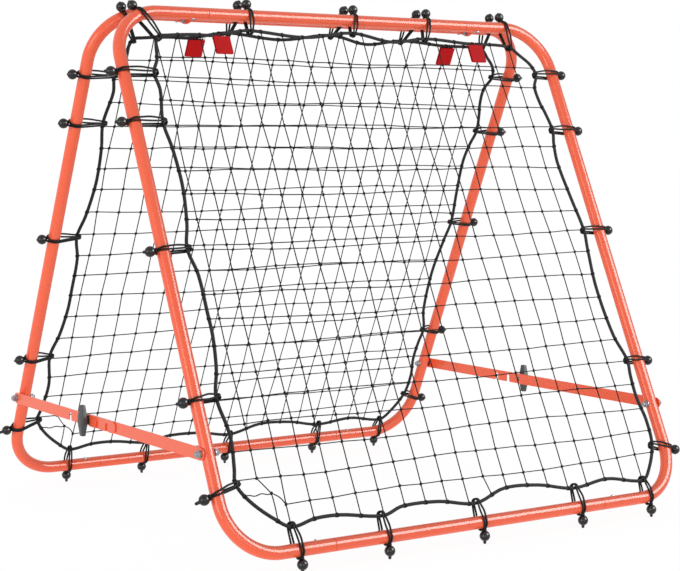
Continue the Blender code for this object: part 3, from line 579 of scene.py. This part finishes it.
# Clamp knobs. A T shaped handle of glass filled nylon is moulded on a steel stud, with a black
# washer as its hub. The stud passes the rear bar's notch and screws into the front bar.
KNOB_STATIONS = [
    (-0.0270, 0.0088, 0.0062), (-0.0266, 0.0102, 0.0074), (-0.0255, 0.0110, 0.0080),
    (-0.0200, 0.0124, 0.0092), (-0.0140, 0.0148, 0.0106), (-0.0090, 0.0174, 0.0118),
    (-0.0040, 0.0188, 0.0124),
]
KNOB_DEPTH = 0.0124
KNOB_HUB_R = 0.008
KNOB_HUB_LENGTH = 0.0035


def glass_filled_nylon():
    """Nylon with glass fibre, moulded in a spark eroded tool: dark grey with a soft sheen."""
    finish, tree, shader = new_finish("glass_filled_nylon", {"IOR": 1.55})
    grain = noise(tree, 0.0009, 3)
    tint(tree, shader, noise(tree, 0.012, 2), "#2F3234", "#414547")
    vary_gloss(tree, shader, grain, 0.34, 0.5)
    add_bump(tree, shader, grain, 0.35, 0.00005)
    return finish


GLASS_FILLED_NYLON = glass_filled_nylon()


def squared_ring(width, depth, height, count=28):
    """A rounded rectangle across the handle, as points (out, along the bar, up)."""
    ring = []
    for i in range(count):
        turn = 2 * math.pi * i / count
        c, s = math.cos(turn), math.sin(turn)
        out = math.copysign(abs(c) ** 0.38, c) * depth / 2
        across = math.copysign(abs(s) ** 0.38, s) * width / 2
        ring.append(Vector((out, across, height)))
    return ring


for hand_name, hand in HAND_SIDES.items():
    bar_face = REAR_BAR_X + BAR_THICKNESS
    hub_start = bar_face + CLEARANCE
    handle_start = hub_start + KNOB_HUB_LENGTH
    stations = KNOB_STATIONS + [(-z, width, depth) for z, width, depth in KNOB_STATIONS[::-1]]
    rings = [squared_ring(width, depth, z) for z, width, depth in stations]
    bm = bmesh.new()
    skin(bm, rings)
    turn = Matrix.Rotation(0 if hand > 0 else math.pi, 4, "Z")
    middle = Vector((hand * (handle_start + KNOB_DEPTH / 2), STUD_Y, PIVOT_Z))
    bm.transform(Matrix.Translation(middle) @ turn)
    handle = add_piece(f"strut_knob_{hand_name}_handle", bm, GLASS_FILLED_NYLON, 60)
    place = Matrix.Translation((0, STUD_Y, PIVOT_Z)) @ LENGTHWISE[hand_name]
    bm = bmesh.new()
    profile = [
        (STUD_R, hub_start), (KNOB_HUB_R - 0.0004, hub_start), (KNOB_HUB_R, hub_start + 0.0004),
        (KNOB_HUB_R, hub_start + 0.0012), (KNOB_HUB_R * 0.82, hub_start + 0.0020),
        (KNOB_HUB_R * 0.78, handle_start + 0.002), (STUD_R, handle_start + 0.002),
    ]
    turned(bm, profile, 40, place)
    hub = add_piece(f"strut_knob_{hand_name}_hub", bm, BLACK_NYLON)
    bm = bmesh.new()
    threaded_end(bm, STUD_R, handle_start, REAR_BAR_X, THREAD_PITCH, place)
    stud = add_piece(f"strut_knob_{hand_name}_stud", bm, ZINC_PLATED_STEEL)
    slots = {handle: "dark_plastic", hub: "black_plastic", stud: "zinc_plated_steel"}
    for piece, slot in slots.items():
        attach(piece, f"strut knob {hand_name}")
        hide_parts(f"strut_knob_{hand_name}")

# Border ropes. A 6 mm braided black polyester rope runs round each net and is drawn outwards by
# the bungee loops. Its ends are spliced, and the net's twine is hitched to it all the way round.
ROPE_R = 0.003
ROPE_STEPS = 6
# Where the rope runs: places along each side and distances from the tubes' axes, in millimetres
ROPE_PLACES = {
    "top": (
        (79, 48), (95, 45), (150, 41.5), (185, 42), (208, 38.5), (240, 32), (267, 29),
        (380, 38.5), (484.5, 25.5), (570, 41), (648, 31), (752, 38), (845, 41),
    ),
    "right": (
        (60, 67), (80, 47), (101.5, 41), (128, 53.5), (161, 52), (184, 46), (220.5, 40.5),
        (251, 48), (290, 52.5), (361, 45.5), (429.5, 37), (470, 42), (547.5, 49), (641.5, 42),
        (691, 26.5), (723, 30), (765, 31), (808.5, 24), (856, 28), (901, 54),
    ),
    "bottom": (
        (92, 52.5), (119, 37.5), (164, 45.5), (212, 45.5), (292, 34.5), (334, 45.5), (408, 44.5),
        (481, 33), (549, 51.5), (624, 48.5), (698, 34.5), (779, 42.5), (860, 30.5),
    ),
    "left": (
        (62, 73), (92, 68), (117, 57), (150, 61), (209, 52.5), (257, 59), (306, 62), (342, 61),
        (395, 54), (437, 44.5), (483, 54), (550, 55), (590, 55), (645, 48), (690, 36.5),
        (745, 45), (769, 45.5), (809, 40), (833, 36.5), (863, 55),
    ),
}


def side_point(side_name, place, inset):
    """A point in the frame's plane, as (x, z), from a place along a side and an inset."""
    if side_name in ("top", "bottom"):
        return Vector((place - HALF_WIDTH, -inset if side_name == "top" else inset - FRAME_HEIGHT))
    x = HALF_WIDTH - inset
    return Vector((x if side_name == "right" else -x, -place))


def smooth(points, steps, closed=True):
    """Points on a smooth curve that passes through the given ones."""
    count = len(points)
    curve = []
    for i in range(count if closed else count - 1):
        around = range(i - 1, i + 3)
        places = [k % count if closed else min(max(k, 0), count - 1) for k in around]
        before, start, end, after = (points[k] for k in places)
        chord = (end - start).length
        leave = (end - before).normalized() * chord
        arrive = (after - start).normalized() * chord
        for step in range(steps):
            t = step / steps
            curve.append(
                start * (2 * t**3 - 3 * t**2 + 1) + leave * (t**3 - 2 * t**2 + t)
                + end * (3 * t**2 - 2 * t**3) + arrive * (t**3 - t**2)
            )
    return curve if closed else curve + [points[-1]]


def rope_line():
    """The rope's axis once round the net, clockwise from the top left, as (x, z)."""
    route = []
    for side_name, backwards in (("top", 1), ("right", 1), ("bottom", -1), ("left", -1)):
        places = ROPE_PLACES[side_name][::backwards]
        route += [side_point(side_name, at / 1000, inset / 1000) for at, inset in places]
    return smooth(route, ROPE_STEPS)


ROPE_LINE = rope_line()


def rope_distance(start, direction):
    """How far the rope's axis is from a point, in a direction in the frame's plane."""
    found = []
    for a, b in zip(ROPE_LINE, ROPE_LINE[1:] + ROPE_LINE[:1]):
        edge = b - a
        cross = direction.x * edge.y - direction.y * edge.x
        if abs(cross) < 1e-12:
            continue
        gap = a - start
        distance = (gap.x * edge.y - gap.y * edge.x) / cross
        share = (gap.x * direction.y - gap.y * direction.x) / cross
        if -1e-6 < share < 1 + 1e-6 and distance > 0:
            found.append(distance)
    return min(found)


def calculate(tree, operation, first, second=0.0):
    inputs = {0: first, 1: second}
    return add_node(tree, "ShaderNodeMath", {"operation": operation}, inputs).outputs[0]


def strand_height(tree, radius, strands, turn_length, crossed):
    """The height of laid strands on a cord whose UVs are metres, from 0 to 1."""
    uv = add_node(tree, "ShaderNodeUVMap").outputs["UV"]
    split = add_node(tree, "ShaderNodeSeparateXYZ", {}, {0: uv})
    round_it = calculate(tree, "MULTIPLY", split.outputs["X"], strands / radius)
    twist = 2 * math.pi * strands / turn_length
    lengthwise = calculate(tree, "MULTIPLY", split.outputs["Y"], twist)
    waves = []
    for mix in ("ADD", "SUBTRACT") if crossed else ("ADD",):
        wave = calculate(tree, "SINE", calculate(tree, mix, round_it, lengthwise))
        inputs = {"Value": wave, "From Min": -1}
        waves.append(add_node(tree, "ShaderNodeMapRange", {}, inputs).outputs[0])
    return calculate(tree, "MULTIPLY", *waves) if crossed else waves[0]


def laid_cord(name, dark, light, roughness, sheen, bump_depth, pattern):
    """Black yarn, braided or twisted: dull, with painted shade in the grooves between the strands,
    so each crest reads lighter in patches.
    """
    constants = {"Roughness": roughness, "IOR": 1.5, "Specular IOR Level": 0.25}
    constants |= {"Sheen Weight": sheen, "Sheen Roughness": 0.4}
    finish, tree, shader = new_finish(name, constants)
    height = strand_height(tree, *pattern)
    # Painted shade: the colour darkens into the grooves between the strands, more in some patches
    # than others
    painted_strand_shade = calculate(tree, "MULTIPLY", height, noise(tree, 0.008, 4))
    tint(tree, shader, painted_strand_shade, dark, light)
    add_bump(tree, shader, height, 0.8, bump_depth)
    return finish


BRAIDED_ROPE = laid_cord(
    "braided_polyester_rope", "#161617", "#454548", 0.7, 0.1, 0.0004, (ROPE_R, 8, 0.040, True)
)

for frame_name in FRAME_SIDES:
    path = [(point.x, 0, point.y) for point in ROPE_LINE]
    bm = bmesh.new()
    rings = rings_along(path, round_section(14), ROPE_R, Vector((0, 1, 0)), closed=True)
    skin(bm, rings, closed=True)
    bm.transform(plane_matrix(frame_name))
    rope = add_piece(f"{frame_name}_border_rope", bm, BRAIDED_ROPE)
    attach(rope, f"{frame_name} frame")
    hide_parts(f"{frame_name}_net_rope")

# Nets. Each is knotted from 2 mm black twine, 19 cords each way about 43 mm apart, with a small
# hard knot at every crossing. Every cord ends in a hitch round the border rope.
CORD_R = 0.0010
KNOT_R = 0.0026
KNOT_PROFILE = ((0.0, -1.25), (0.75, -0.8), (1.0, 0), (0.75, 0.8), (0.0, 1.25))
CORD_COUNT = 19
FIRST_COLUMN = -0.3925
COLUMN_PITCH = 0.0426
ROWS = (
    0.087, 0.127, 0.170, 0.213, 0.257, 0.299, 0.343, 0.387, 0.431, 0.475, 0.519, 0.563, 0.607,
    0.651, 0.695, 0.739, 0.783, 0.828, 0.872,
)
PULLED_KNOT = (18, 0)
PULLED_PLACE = (-0.372, -0.854)
TWISTED_TWINE = laid_cord(
    "twisted_nylon_twine", "#060606", "#18181A", 0.75, 0.02, 0.0002, (CORD_R, 3, 0.006, False)
)


def net_point(x, z):
    """A point of the net, which sags a little off the frame's plane under its own weight."""
    across = max(0, 1 - (x / 0.42) ** 2)
    down = max(0, 1 - ((z + 0.474) / 0.44) ** 2)
    return Vector((x, -0.003 * across * down, z))


def knot_places():
    """The crossings, row by row from the top: a square mesh, a little uneven."""
    rng = random.Random(7)
    places = []
    for j, down in enumerate(ROWS):
        row = []
        for i in range(CORD_COUNT):
            x = FIRST_COLUMN + i * (COLUMN_PITCH + 0.001 * min(1, down / 0.5))
            x += 0.0012 * math.sin(0.9 * j + 0.7 * i) + rng.uniform(-0.0009, 0.0009)
            z = -down + 0.0022 * math.sin(0.5 * i + 1.3 * j) + rng.uniform(-0.0009, 0.0009)
            row.append((x, z))
        places.append(row)
    places[PULLED_KNOT[0]][PULLED_KNOT[1]] = PULLED_PLACE
    return places


KNOTS = knot_places()


def border_end(place, direction, drift=0.0):
    """Where a cord from a knot meets the rope, drifting sideways on the way."""
    start = Vector(place)
    aim = Vector(direction)
    aim = (aim + Vector((-aim.y, aim.x)) * drift).normalized()
    return start + aim * rope_distance(start, aim)


def slack(start, end, sag, waves):
    """A loose strand between two points, in gentle waves."""
    points = []
    for i in range(13):
        t = i / 12
        sideways = (end - start).orthogonal().normalized()
        points.append(start.lerp(end, t) + sideways * sag * math.sin(waves * math.pi * t))
    return points


def cords():
    """Every cord's points in the plane, and the two ends where it is hitched to the rope."""
    found = []
    for i in range(CORD_COUNT):
        column = [Vector(KNOTS[j][i]) for j in range(CORD_COUNT)]
        top = border_end(column[0], (0, 1))
        bottom = border_end(column[-1], (0, -1), 0.25 if i == 10 else 0.0)
        tail = slack(column[-1], bottom, 0.001, 1) if i == 0 else [column[-1], bottom]
        found.append([top] + column[:-1] + tail)
    for j in range(CORD_COUNT):
        row = [Vector(place) for place in KNOTS[j]]
        left = border_end(row[0], (-1, 0))
        right = border_end(row[-1], (1, 0))
        if j == CORD_COUNT - 1:
            row = slack(left, row[0], 0.0013, 4) + slack(row[0], row[1], 0.003, 1) + row[2:]
        else:
            row.insert(0, left)
        found.append(row + [right])
    return found


def hitch(bm, end):
    """Two turns of twine round the rope, with the cord's end drawn through."""
    nearest = min(range(len(ROPE_LINE)), key=lambda i: (ROPE_LINE[i] - end).length)
    tangent = (ROPE_LINE[(nearest + 1) % len(ROPE_LINE)] - ROPE_LINE[nearest - 1]).normalized()
    across = Vector((-tangent.y, tangent.x))
    points = []
    reach = ROPE_R + CORD_R * 0.1
    for i in range(25):
        turn = 2 * math.pi * 2 * i / 24
        shift = (i / 24 - 0.5) * 4 * CORD_R
        flat = end + across * reach * math.cos(turn) + tangent * shift
        points.append(Vector((flat.x, reach * math.sin(turn), flat.y)))
    skin(bm, rings_along(points, round_section(6), CORD_R))


for frame_name, side in FRAME_SIDES.items():
    bm = bmesh.new()
    for line in cords():
        points = [net_point(point.x, point.y) for point in line]
        skin(bm, rings_along(points, round_section(6), CORD_R))
        hitch(bm, line[0])
        hitch(bm, line[-1])
    for j, row in enumerate(KNOTS):
        for i, (x, z) in enumerate(row):
            lean = Matrix.Rotation(0.8 + 0.3 * math.sin(i + 2 * j), 4, "Y")
            place = Matrix.Translation(net_point(x, z)) @ lean
            profile = [(r * KNOT_R or 0.0004, height * KNOT_R) for r, height in KNOT_PROFILE]
            turned(bm, profile, 8, place)
    bm.transform(Matrix.Scale(side, 4, (0, 1, 0)))
    bm.transform(plane_matrix(frame_name))
    net = add_piece(f"{frame_name}_knotted_net", bm, TWISTED_TWINE, 60)
    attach(net, f"{frame_name} frame")
    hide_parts(f"{frame_name}_net")

# Tabs. Two strips of red polyester webbing, 33 mm wide, hang from the top rope of each net. A
# strip is folded at its lower edge, and both halves are sewn to the rope with black thread.
TAB_WIDTH = 0.033
TAB_THICKNESS = 0.0011
TAB_FOOT = 0.0768
TAB_PLACES = {"left": (-0.264, 0.0440), "right": (0.295, 0.0415)}
TAB_HALF_GAP = 0.0017
HEM = 0.0025
STITCH_R = 0.0005
# Blender's wave texture makes this many waves in a unit of length at a scale of 1
WAVES_PER_SCALE = 3.1831


def red_webbing():
    """Woven polyester tape: a matt red with fine ribs along and across it, and painted shade
    darkening the hollows between the ribs.
    """
    constants = {"Roughness": 0.75, "Specular IOR Level": 0.15}
    finish, tree, shader = new_finish("red_polyester_webbing", constants)
    uv = add_node(tree, "ShaderNodeUVMap").outputs["UV"]
    # Ribs are 1.2 mm apart, about twice as coarse as real tape, so that they show at all
    ribs = []
    for turn, pitch in ((0, 0.0012), (RIGHT_ANGLE, 0.0018)):
        inputs = {"Vector": uv, "Rotation": (0, 0, turn)}
        turned_uv = add_node(tree, "ShaderNodeMapping", {}, inputs).outputs[0]
        inputs = {"Vector": turned_uv, "Scale": 1 / pitch / WAVES_PER_SCALE}
        ribs.append(add_node(tree, "ShaderNodeTexWave", {}, inputs).outputs["Fac"])
    height = calculate(tree, "MULTIPLY", *ribs)
    # The rib height also sets the colour: painted shade, darker in the hollows between the ribs
    tint(tree, shader, height, "#BC090E", "#E61119")
    add_bump(tree, shader, height, 0.6, 0.0002)
    return finish


RED_WEBBING = red_webbing()


def tab_section(half_width, thickness, count=12):
    """The strip cut across: flat, with soft edges."""
    across = [half_width * (2 * i / count - 1) for i in range(count + 1)]
    lower = [(x, -thickness / 2) for x in across[1:-1]]
    upper = [(x, thickness / 2) for x in across[1:-1]]
    return [(across[0], 0)] + lower + [(across[-1], 0)] + upper[::-1]


for frame_name, side in FRAME_SIDES.items():
    for hand_name, (x, head) in TAB_PLACES.items():
        rope_z = -rope_distance(Vector((x, 0)), Vector((0, -1)))
        gap = TAB_HALF_GAP + TAB_THICKNESS / 2
        drop = TAB_FOOT - head
        path = [(gap * 1.3, 0), (gap * 1.2, -0.003), (gap, -0.008), (gap, -drop * 0.6)]
        path += [(gap, 0.0022 - drop), (gap * 0.7, 0.0007 - drop), (0, -drop)]
        path += [(-n, z) for n, z in path[-2::-1]]
        path = smooth([Vector((n, z)) for n, z in path], 4, closed=False)
        path = [Vector((x, side * point.x, point.y - head)) for point in path]
        bm = bmesh.new()
        section = tab_section(TAB_WIDTH / 2, TAB_THICKNESS)
        skin(bm, rings_along(path, section, 1, Vector((1, 0, 0))))
        bm.transform(plane_matrix(frame_name))
        node = f"{frame_name}_tab_{hand_name}"
        tab = add_piece(node + "_webbing", bm, RED_WEBBING)
        bm = bmesh.new()
        middle = (rope_z + ROPE_R - head - HEM) / 2
        half_height = rope_z + ROPE_R - middle + STITCH_R
        for share in (-0.85, -0.5, -0.15, 0.2, 0.55, 0.88):
            stitch_x = x + share * TAB_WIDTH / 2
            loop = [
                (stitch_x, (ROPE_R + STITCH_R) * a, middle + half_height * b)
                for a, b in circle((0, 0), 1, 16)
            ]
            skin(bm, rings_along(loop, round_section(6), STITCH_R, closed=True), closed=True)
        bm.transform(plane_matrix(frame_name))
        stitches = add_piece(node + "_stitches", bm, TWISTED_TWINE)
        for piece, slot in ((tab, "red_webbing"), (stitches, "black_cord")):
            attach(piece, f"{frame_name} frame")
            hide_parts(node)

# Bungee loops. Each is a 3.4 mm elastic cord whose two ends are knotted inside a plastic ball. The
# loop goes over the tube, round the border rope, back behind the tube and hooks over the ball.
BUNGEE_R = 0.0017
BALL_R = 0.009
# Half the distance between the two strands behind the tube, narrow or wide, and how far the
# strands in front of the tube lie beside them at the rope
NARROW_GAP = 0.00175
WIDE_GAP = 0.0024
PARTING = 0.0026
# The ball's middle and the place where the loop meets the rope, both as (x, down the plane) in
# millimetres
BUNGEES = {
    "top": (
        ((-424, -10.5), (-389, 48)), ((-196, -23.5), (-202, 30)), ((32, -23.5), (18, 26)),
        ((199, -23.5), (181, 31)), ((377, -23.5), (379, 41)),
    ),
    "right": (
        ((491.5, 101), (426, 101)), ((491.5, 222), (428, 220)), ((491.5, 432), (432, 430)),
        ((491.5, 696), (442, 692)), ((492, 870), (440, 856)),
    ),
    "bottom": (
        ((-346, 972), (-350, 911)), ((-180, 972), (-180, 916)), ((14, 972), (14, 916)),
        ((231, 972), (232, 917)), ((393, 972), (392, 917)),
    ),
    "left": (
        ((-491.5, 117), (-412, 117)), ((-491.5, 210), (-416, 209)), ((-491.5, 440), (-424, 437)),
        ((-491.5, 695), (-433, 691)), ((-491.5, 851), (-431, 834)),
    ),
}
# How far each ball's nub, the sheathed end of the cord, stands out of it. The bottom ones all
# reach the floor.
FOOT_NUB_LENGTH = 0.0045
SHORT_NUB_LENGTH = 0.0010
NUB_LENGTHS = {
    ("front", "left"): (0.0040, 0.0038, 0.0042, 0.0040, 0.0085),
    ("rear", "left"): (0.0012, 0.0012, 0.0014, 0.0020, 0.0085),
    ("front", "right"): (0.0010, 0.0012, 0.0010, 0.0012, 0.0014),
    ("rear", "right"): (0.0040, 0.0042, 0.0018, 0.0034, 0.0030),
}
ELASTIC_SHEATH = laid_cord(
    "braided_elastic_sheath", "#060606", "#18181A", 0.6, 0.02, 0.0002, (BUNGEE_R, 6, 0.016, True)
)


def gloss_plastic():
    """Moulded ABS from a polished tool: a glossy black that mirrors the light as a small dot."""
    constants = {"IOR": 1.54, "Specular IOR Level": 0.38}
    finish, tree, shader = new_finish("gloss_black_plastic", constants)
    dust = noise(tree, 0.004, 5)
    tint(tree, shader, dust, "#080809", "#101012")
    vary_gloss(tree, shader, dust, 0.04, 0.08)
    return finish


GLOSS_PLASTIC = gloss_plastic()


def ball_profile(nub_length):
    """From the cord hole to the tip of the nub, with the mould's parting line round the middle."""
    profile = [(0.0022, -0.0055), (0.0022, -0.0084), (0.0027, -0.0088)]
    for degrees in range(-68, 69, 8):
        turn = math.radians(degrees)
        profile.append((BALL_R * math.cos(turn), BALL_R * math.sin(turn)))
        if degrees == -4:
            profile += [(BALL_R + 0.0001, -0.0002), (BALL_R + 0.0001, 0.0002)]
    profile.append((0.0029, 0.0088))
    if nub_length > 0.0025:
        profile += [(0.0026, BALL_R + nub_length - 0.0014), (0.0022, BALL_R + nub_length - 0.0004)]
    return profile + [(0.0014, BALL_R + nub_length), (0.0003, BALL_R + nub_length)]


def tube_crossing(inner, outer):
    """Where a line out of the frame crosses the tube's axis, and the tube's outward direction."""
    near, far = 0.0, 1.0
    for _ in range(40):
        middle = (near + far) / 2
        point = inner.lerp(outer, middle)
        corner_x = max(BEND_R - HALF_WIDTH, min(HALF_WIDTH - BEND_R, point.x))
        corner_z = max(BEND_R - FRAME_HEIGHT, min(-BEND_R, point.y))
        corner = Vector((corner_x, corner_z))
        beyond = (point - corner).length > BEND_R
        near, far = (near, middle) if beyond else (middle, far)
    return point, (point - corner).normalized()


def loop_path(ball_out, reach, stretch, inner_gap, parting, rng):
    """The cord's way, as (out, along, off the plane), from the ball's hole and back into it.

    A loop that crosses the tube at a slant goes round a longer section, by the stretch. The outer
    and the inner pair of strands lie apart on the rope, by the parting.
    """
    over = TUBE_R + BUNGEE_R + 0.0001
    wrap = ROPE_R + BUNGEE_R + 0.0001
    neck = ball_out - BALL_R
    tilt = math.asin((over - wrap) / reach)
    spread = rng.uniform(0.0030, 0.0044)
    bulge = rng.uniform(0.0, 0.0012)
    free = -reach / 2
    strand = [(neck + 0.004, 0.0010, 0.0), (neck + 0.0005, 0.0013, 0.0008)]
    for degrees, beside in ((38, 0.0018), (56, 0.0021), (74, 0.0025)):
        turn = math.radians(degrees)
        strand.append((over * stretch * math.cos(turn), beside, over * math.sin(turn)))
    strand.append((-over * math.sin(tilt), 0.0026, over * math.cos(tilt)))
    strand.append((free, spread, (over + wrap) / 2 + 0.0006 + bulge))
    strand.append((-reach + wrap * 0.3, 0.0021, wrap * 0.98))
    for degrees in (110, 145, 180, 215, 250):
        turn = math.radians(degrees)
        strand.append((-reach + 1.5 * wrap * math.cos(turn), 0.0017, wrap * math.sin(turn)))
    strand.append((free, inner_gap * 1.1, -(over + wrap) / 2))
    strand.append((-over * math.sin(tilt), inner_gap, -over * math.cos(tilt)))
    for degrees in (-74, -54, -38):
        turn = math.radians(degrees)
        strand.append((over * stretch * math.cos(turn), 0.0017, over * math.sin(turn)))
    strand += [(neck - 0.0018, 0.0026, -0.0042), (neck - 0.0014, 0.0036, -0.0006)]
    strand.append((neck - 0.0004, 0.0029, 0.0034))
    path = strand + [(neck + 0.0002, 0, 0.0051)] + [(u, -s, n) for u, s, n in strand[::-1]]
    placed = []
    for u, s, n in path:
        part = parting * max(0, -u / reach) * max(-1, min(1, n / wrap))
        placed.append(Vector((u, s + part + rng.uniform(-1, 1) * 0.00015, n)))
    return placed


for frame_name, side in FRAME_SIDES.items():
    rng = random.Random(11)
    for side_name, loops in BUNGEES.items():
        for number, ((ball_x, ball_down), (rope_x, rope_down)) in enumerate(loops, 1):
            name = f"{frame_name}_bungee_{side_name}_{number}"
            ball_place = Vector((ball_x / 1000, -ball_down / 1000))
            rope_place = Vector((rope_x / 1000, -rope_down / 1000))
            start, tube_out = tube_crossing(rope_place, ball_place)
            ball_out = (ball_place - start).length
            outward = (ball_place - start).normalized()
            sideways = Vector((-outward.y, outward.x))
            reach = rope_distance(start, -outward)
            local = [(outward.x, sideways.x, 0, start.x), (0, 0, side, 0)]
            local += [(outward.y, sideways.y, 0, start.y), (0, 0, 0, 1)]
            place = plane_matrix(frame_name) @ Matrix(local)
            stretch = 1 / outward.dot(tube_out)
            inner_gap = WIDE_GAP if side_name == "bottom" else NARROW_GAP
            parting = PARTING * (sideways.x + sideways.y) if frame_name == "front" else 0
            path = loop_path(ball_out, reach, stretch, inner_gap, parting, rng)
            path = smooth(path, 4, closed=False)
            bm = bmesh.new()
            skin(bm, rings_along(path, round_section(8), BUNGEE_R, Vector((0, 1, 0))))
            bm.transform(place)
            cord = add_piece(name + "_elastic", bm, ELASTIC_SHEATH)
            centre = place @ Vector((ball_out, 0, 0))
            nub_lengths = NUB_LENGTHS.get((frame_name, side_name), (SHORT_NUB_LENGTH,) * 5)
            nub_length = nub_lengths[number - 1]
            if side_name == "bottom":
                aim = Vector((0, 0, -1))
                nub_length = FOOT_NUB_LENGTH
            else:
                aim = (place @ Vector((ball_out + 1, 0, 0)) - centre).normalized()
            turn = aim.to_track_quat("Z", "Y").to_matrix().to_4x4()
            bm = bmesh.new()
            turned(bm, ball_profile(nub_length), 32, Matrix.Translation(centre) @ turn)
            ball = add_piece(name + "_ball", bm, GLOSS_PLASTIC, 50)
            node = f"{frame_name}_net_rope" if side_name in ("left", "right") else name
            for piece in (cord, ball):
                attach(piece, f"{frame_name} frame")
                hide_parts(node)

# Studio: a plain floor and a white backdrop. To the camera and in gloss they are white, and the
# floor keeps a part of the object's shadow.


def studio_floor():
    """Seamless white paper, which the camera sees as white but for a faint shadow."""
    constants = {"Base Color": linear("#F5F5F5"), "Roughness": 0.9}
    constants |= {"Emission Color": (1, 1, 1, 1), "Emission Strength": 0.3}
    finish, tree, shader = new_finish("white_paper", constants)
    seen = add_node(tree, "ShaderNodeLightPath")
    white = add_node(tree, "ShaderNodeEmission", {}, {"Color": (1, 1, 1, 1), "Strength": 1.02})
    inputs = {0: 0.86, 1: shader.outputs[0], 2: white.outputs[0]}
    faded = add_node(tree, "ShaderNodeMixShader", {}, inputs).outputs[0]
    rays = (seen.outputs["Is Camera Ray"], seen.outputs["Is Glossy Ray"])
    plain = calculate(tree, "MAXIMUM", *rays)
    inputs = {0: plain, 1: shader.outputs[0], 2: faded}
    mix = add_node(tree, "ShaderNodeMixShader", {}, inputs)
    tree.links.new(mix.outputs[0], tree.nodes["Material Output"].inputs["Surface"])
    return finish


bm = bmesh.new()
bmesh.ops.create_grid(bm, x_segments=1, y_segments=1, size=30)
floor = add_piece("studio_floor", bm, studio_floor())

world = bpy.data.worlds.new("white_room")
bpy.context.scene.world = world
world.use_nodes = True
tree = world.node_tree
seen = add_node(tree, "ShaderNodeLightPath")
white_to = seen.outputs["Is Camera Ray"]
for ray in ("Is Glossy Ray", "Is Transmission Ray"):
    white_to = calculate(tree, "MAXIMUM", white_to, seen.outputs[ray])
inputs = {"Value": white_to, "To Min": 0.56, "To Max": 1.0}
strength = add_node(tree, "ShaderNodeMapRange", {}, inputs)
tree.nodes["Background"].inputs["Color"].default_value = (1, 1, 1, 1)
tree.links.new(strength.outputs[0], tree.nodes["Background"].inputs["Strength"])


def add_sun(name, towards, strength, spread):
    """A lamp far away, in a direction from the object."""
    sun = bpy.data.lights.new(name, "SUN")
    sun.energy = strength
    sun.angle = math.radians(spread)
    lamp = new_object(name, sun)
    lamp.rotation_euler = Vector(towards).to_track_quat("Z", "Y").to_euler()


add_sun("key_softbox", (-0.96, -0.26, 0.10), 1.1, 40)
add_sun("front_softbox", (-0.2, -0.97, 0.06), 0.5, 40)


def add_strip(name, place, towards, size, power):
    """A softbox, seen only as the line or dot that it draws in gloss."""
    strip = bpy.data.lights.new(name, "AREA")
    strip.shape = "RECTANGLE"
    strip.size, strip.size_y = size
    strip.energy = power
    lamp = new_object(name, strip)
    lamp.location = place
    lamp.rotation_euler = (Vector(place) - Vector(towards)).to_track_quat("Z", "Y").to_euler()
    lamp.visible_diffuse = False
    lamp.visible_camera = False


add_strip("level_strip_light", (1.9, -2.5, TOP_Z + 0.93), (0, 0, 0.4), (2.3, 1.8), 140)

# Camera: at the photograph's place, a little below the top tubes, looking in from the front left
camera = new_object("camera", bpy.data.cameras.new("camera"))
camera.location = (-1.756, -2.6765, TOP_Z - 0.2277)
camera.rotation_euler = (math.radians(86.348), 0, math.radians(-33.473))
camera.data.lens = 91.16
camera.data.sensor_width = 36
camera.data.shift_y = -0.0451
bpy.context.scene.camera = camera
bpy.context.scene.view_settings.view_transform = "Standard"

bpy.context.view_layer.update()
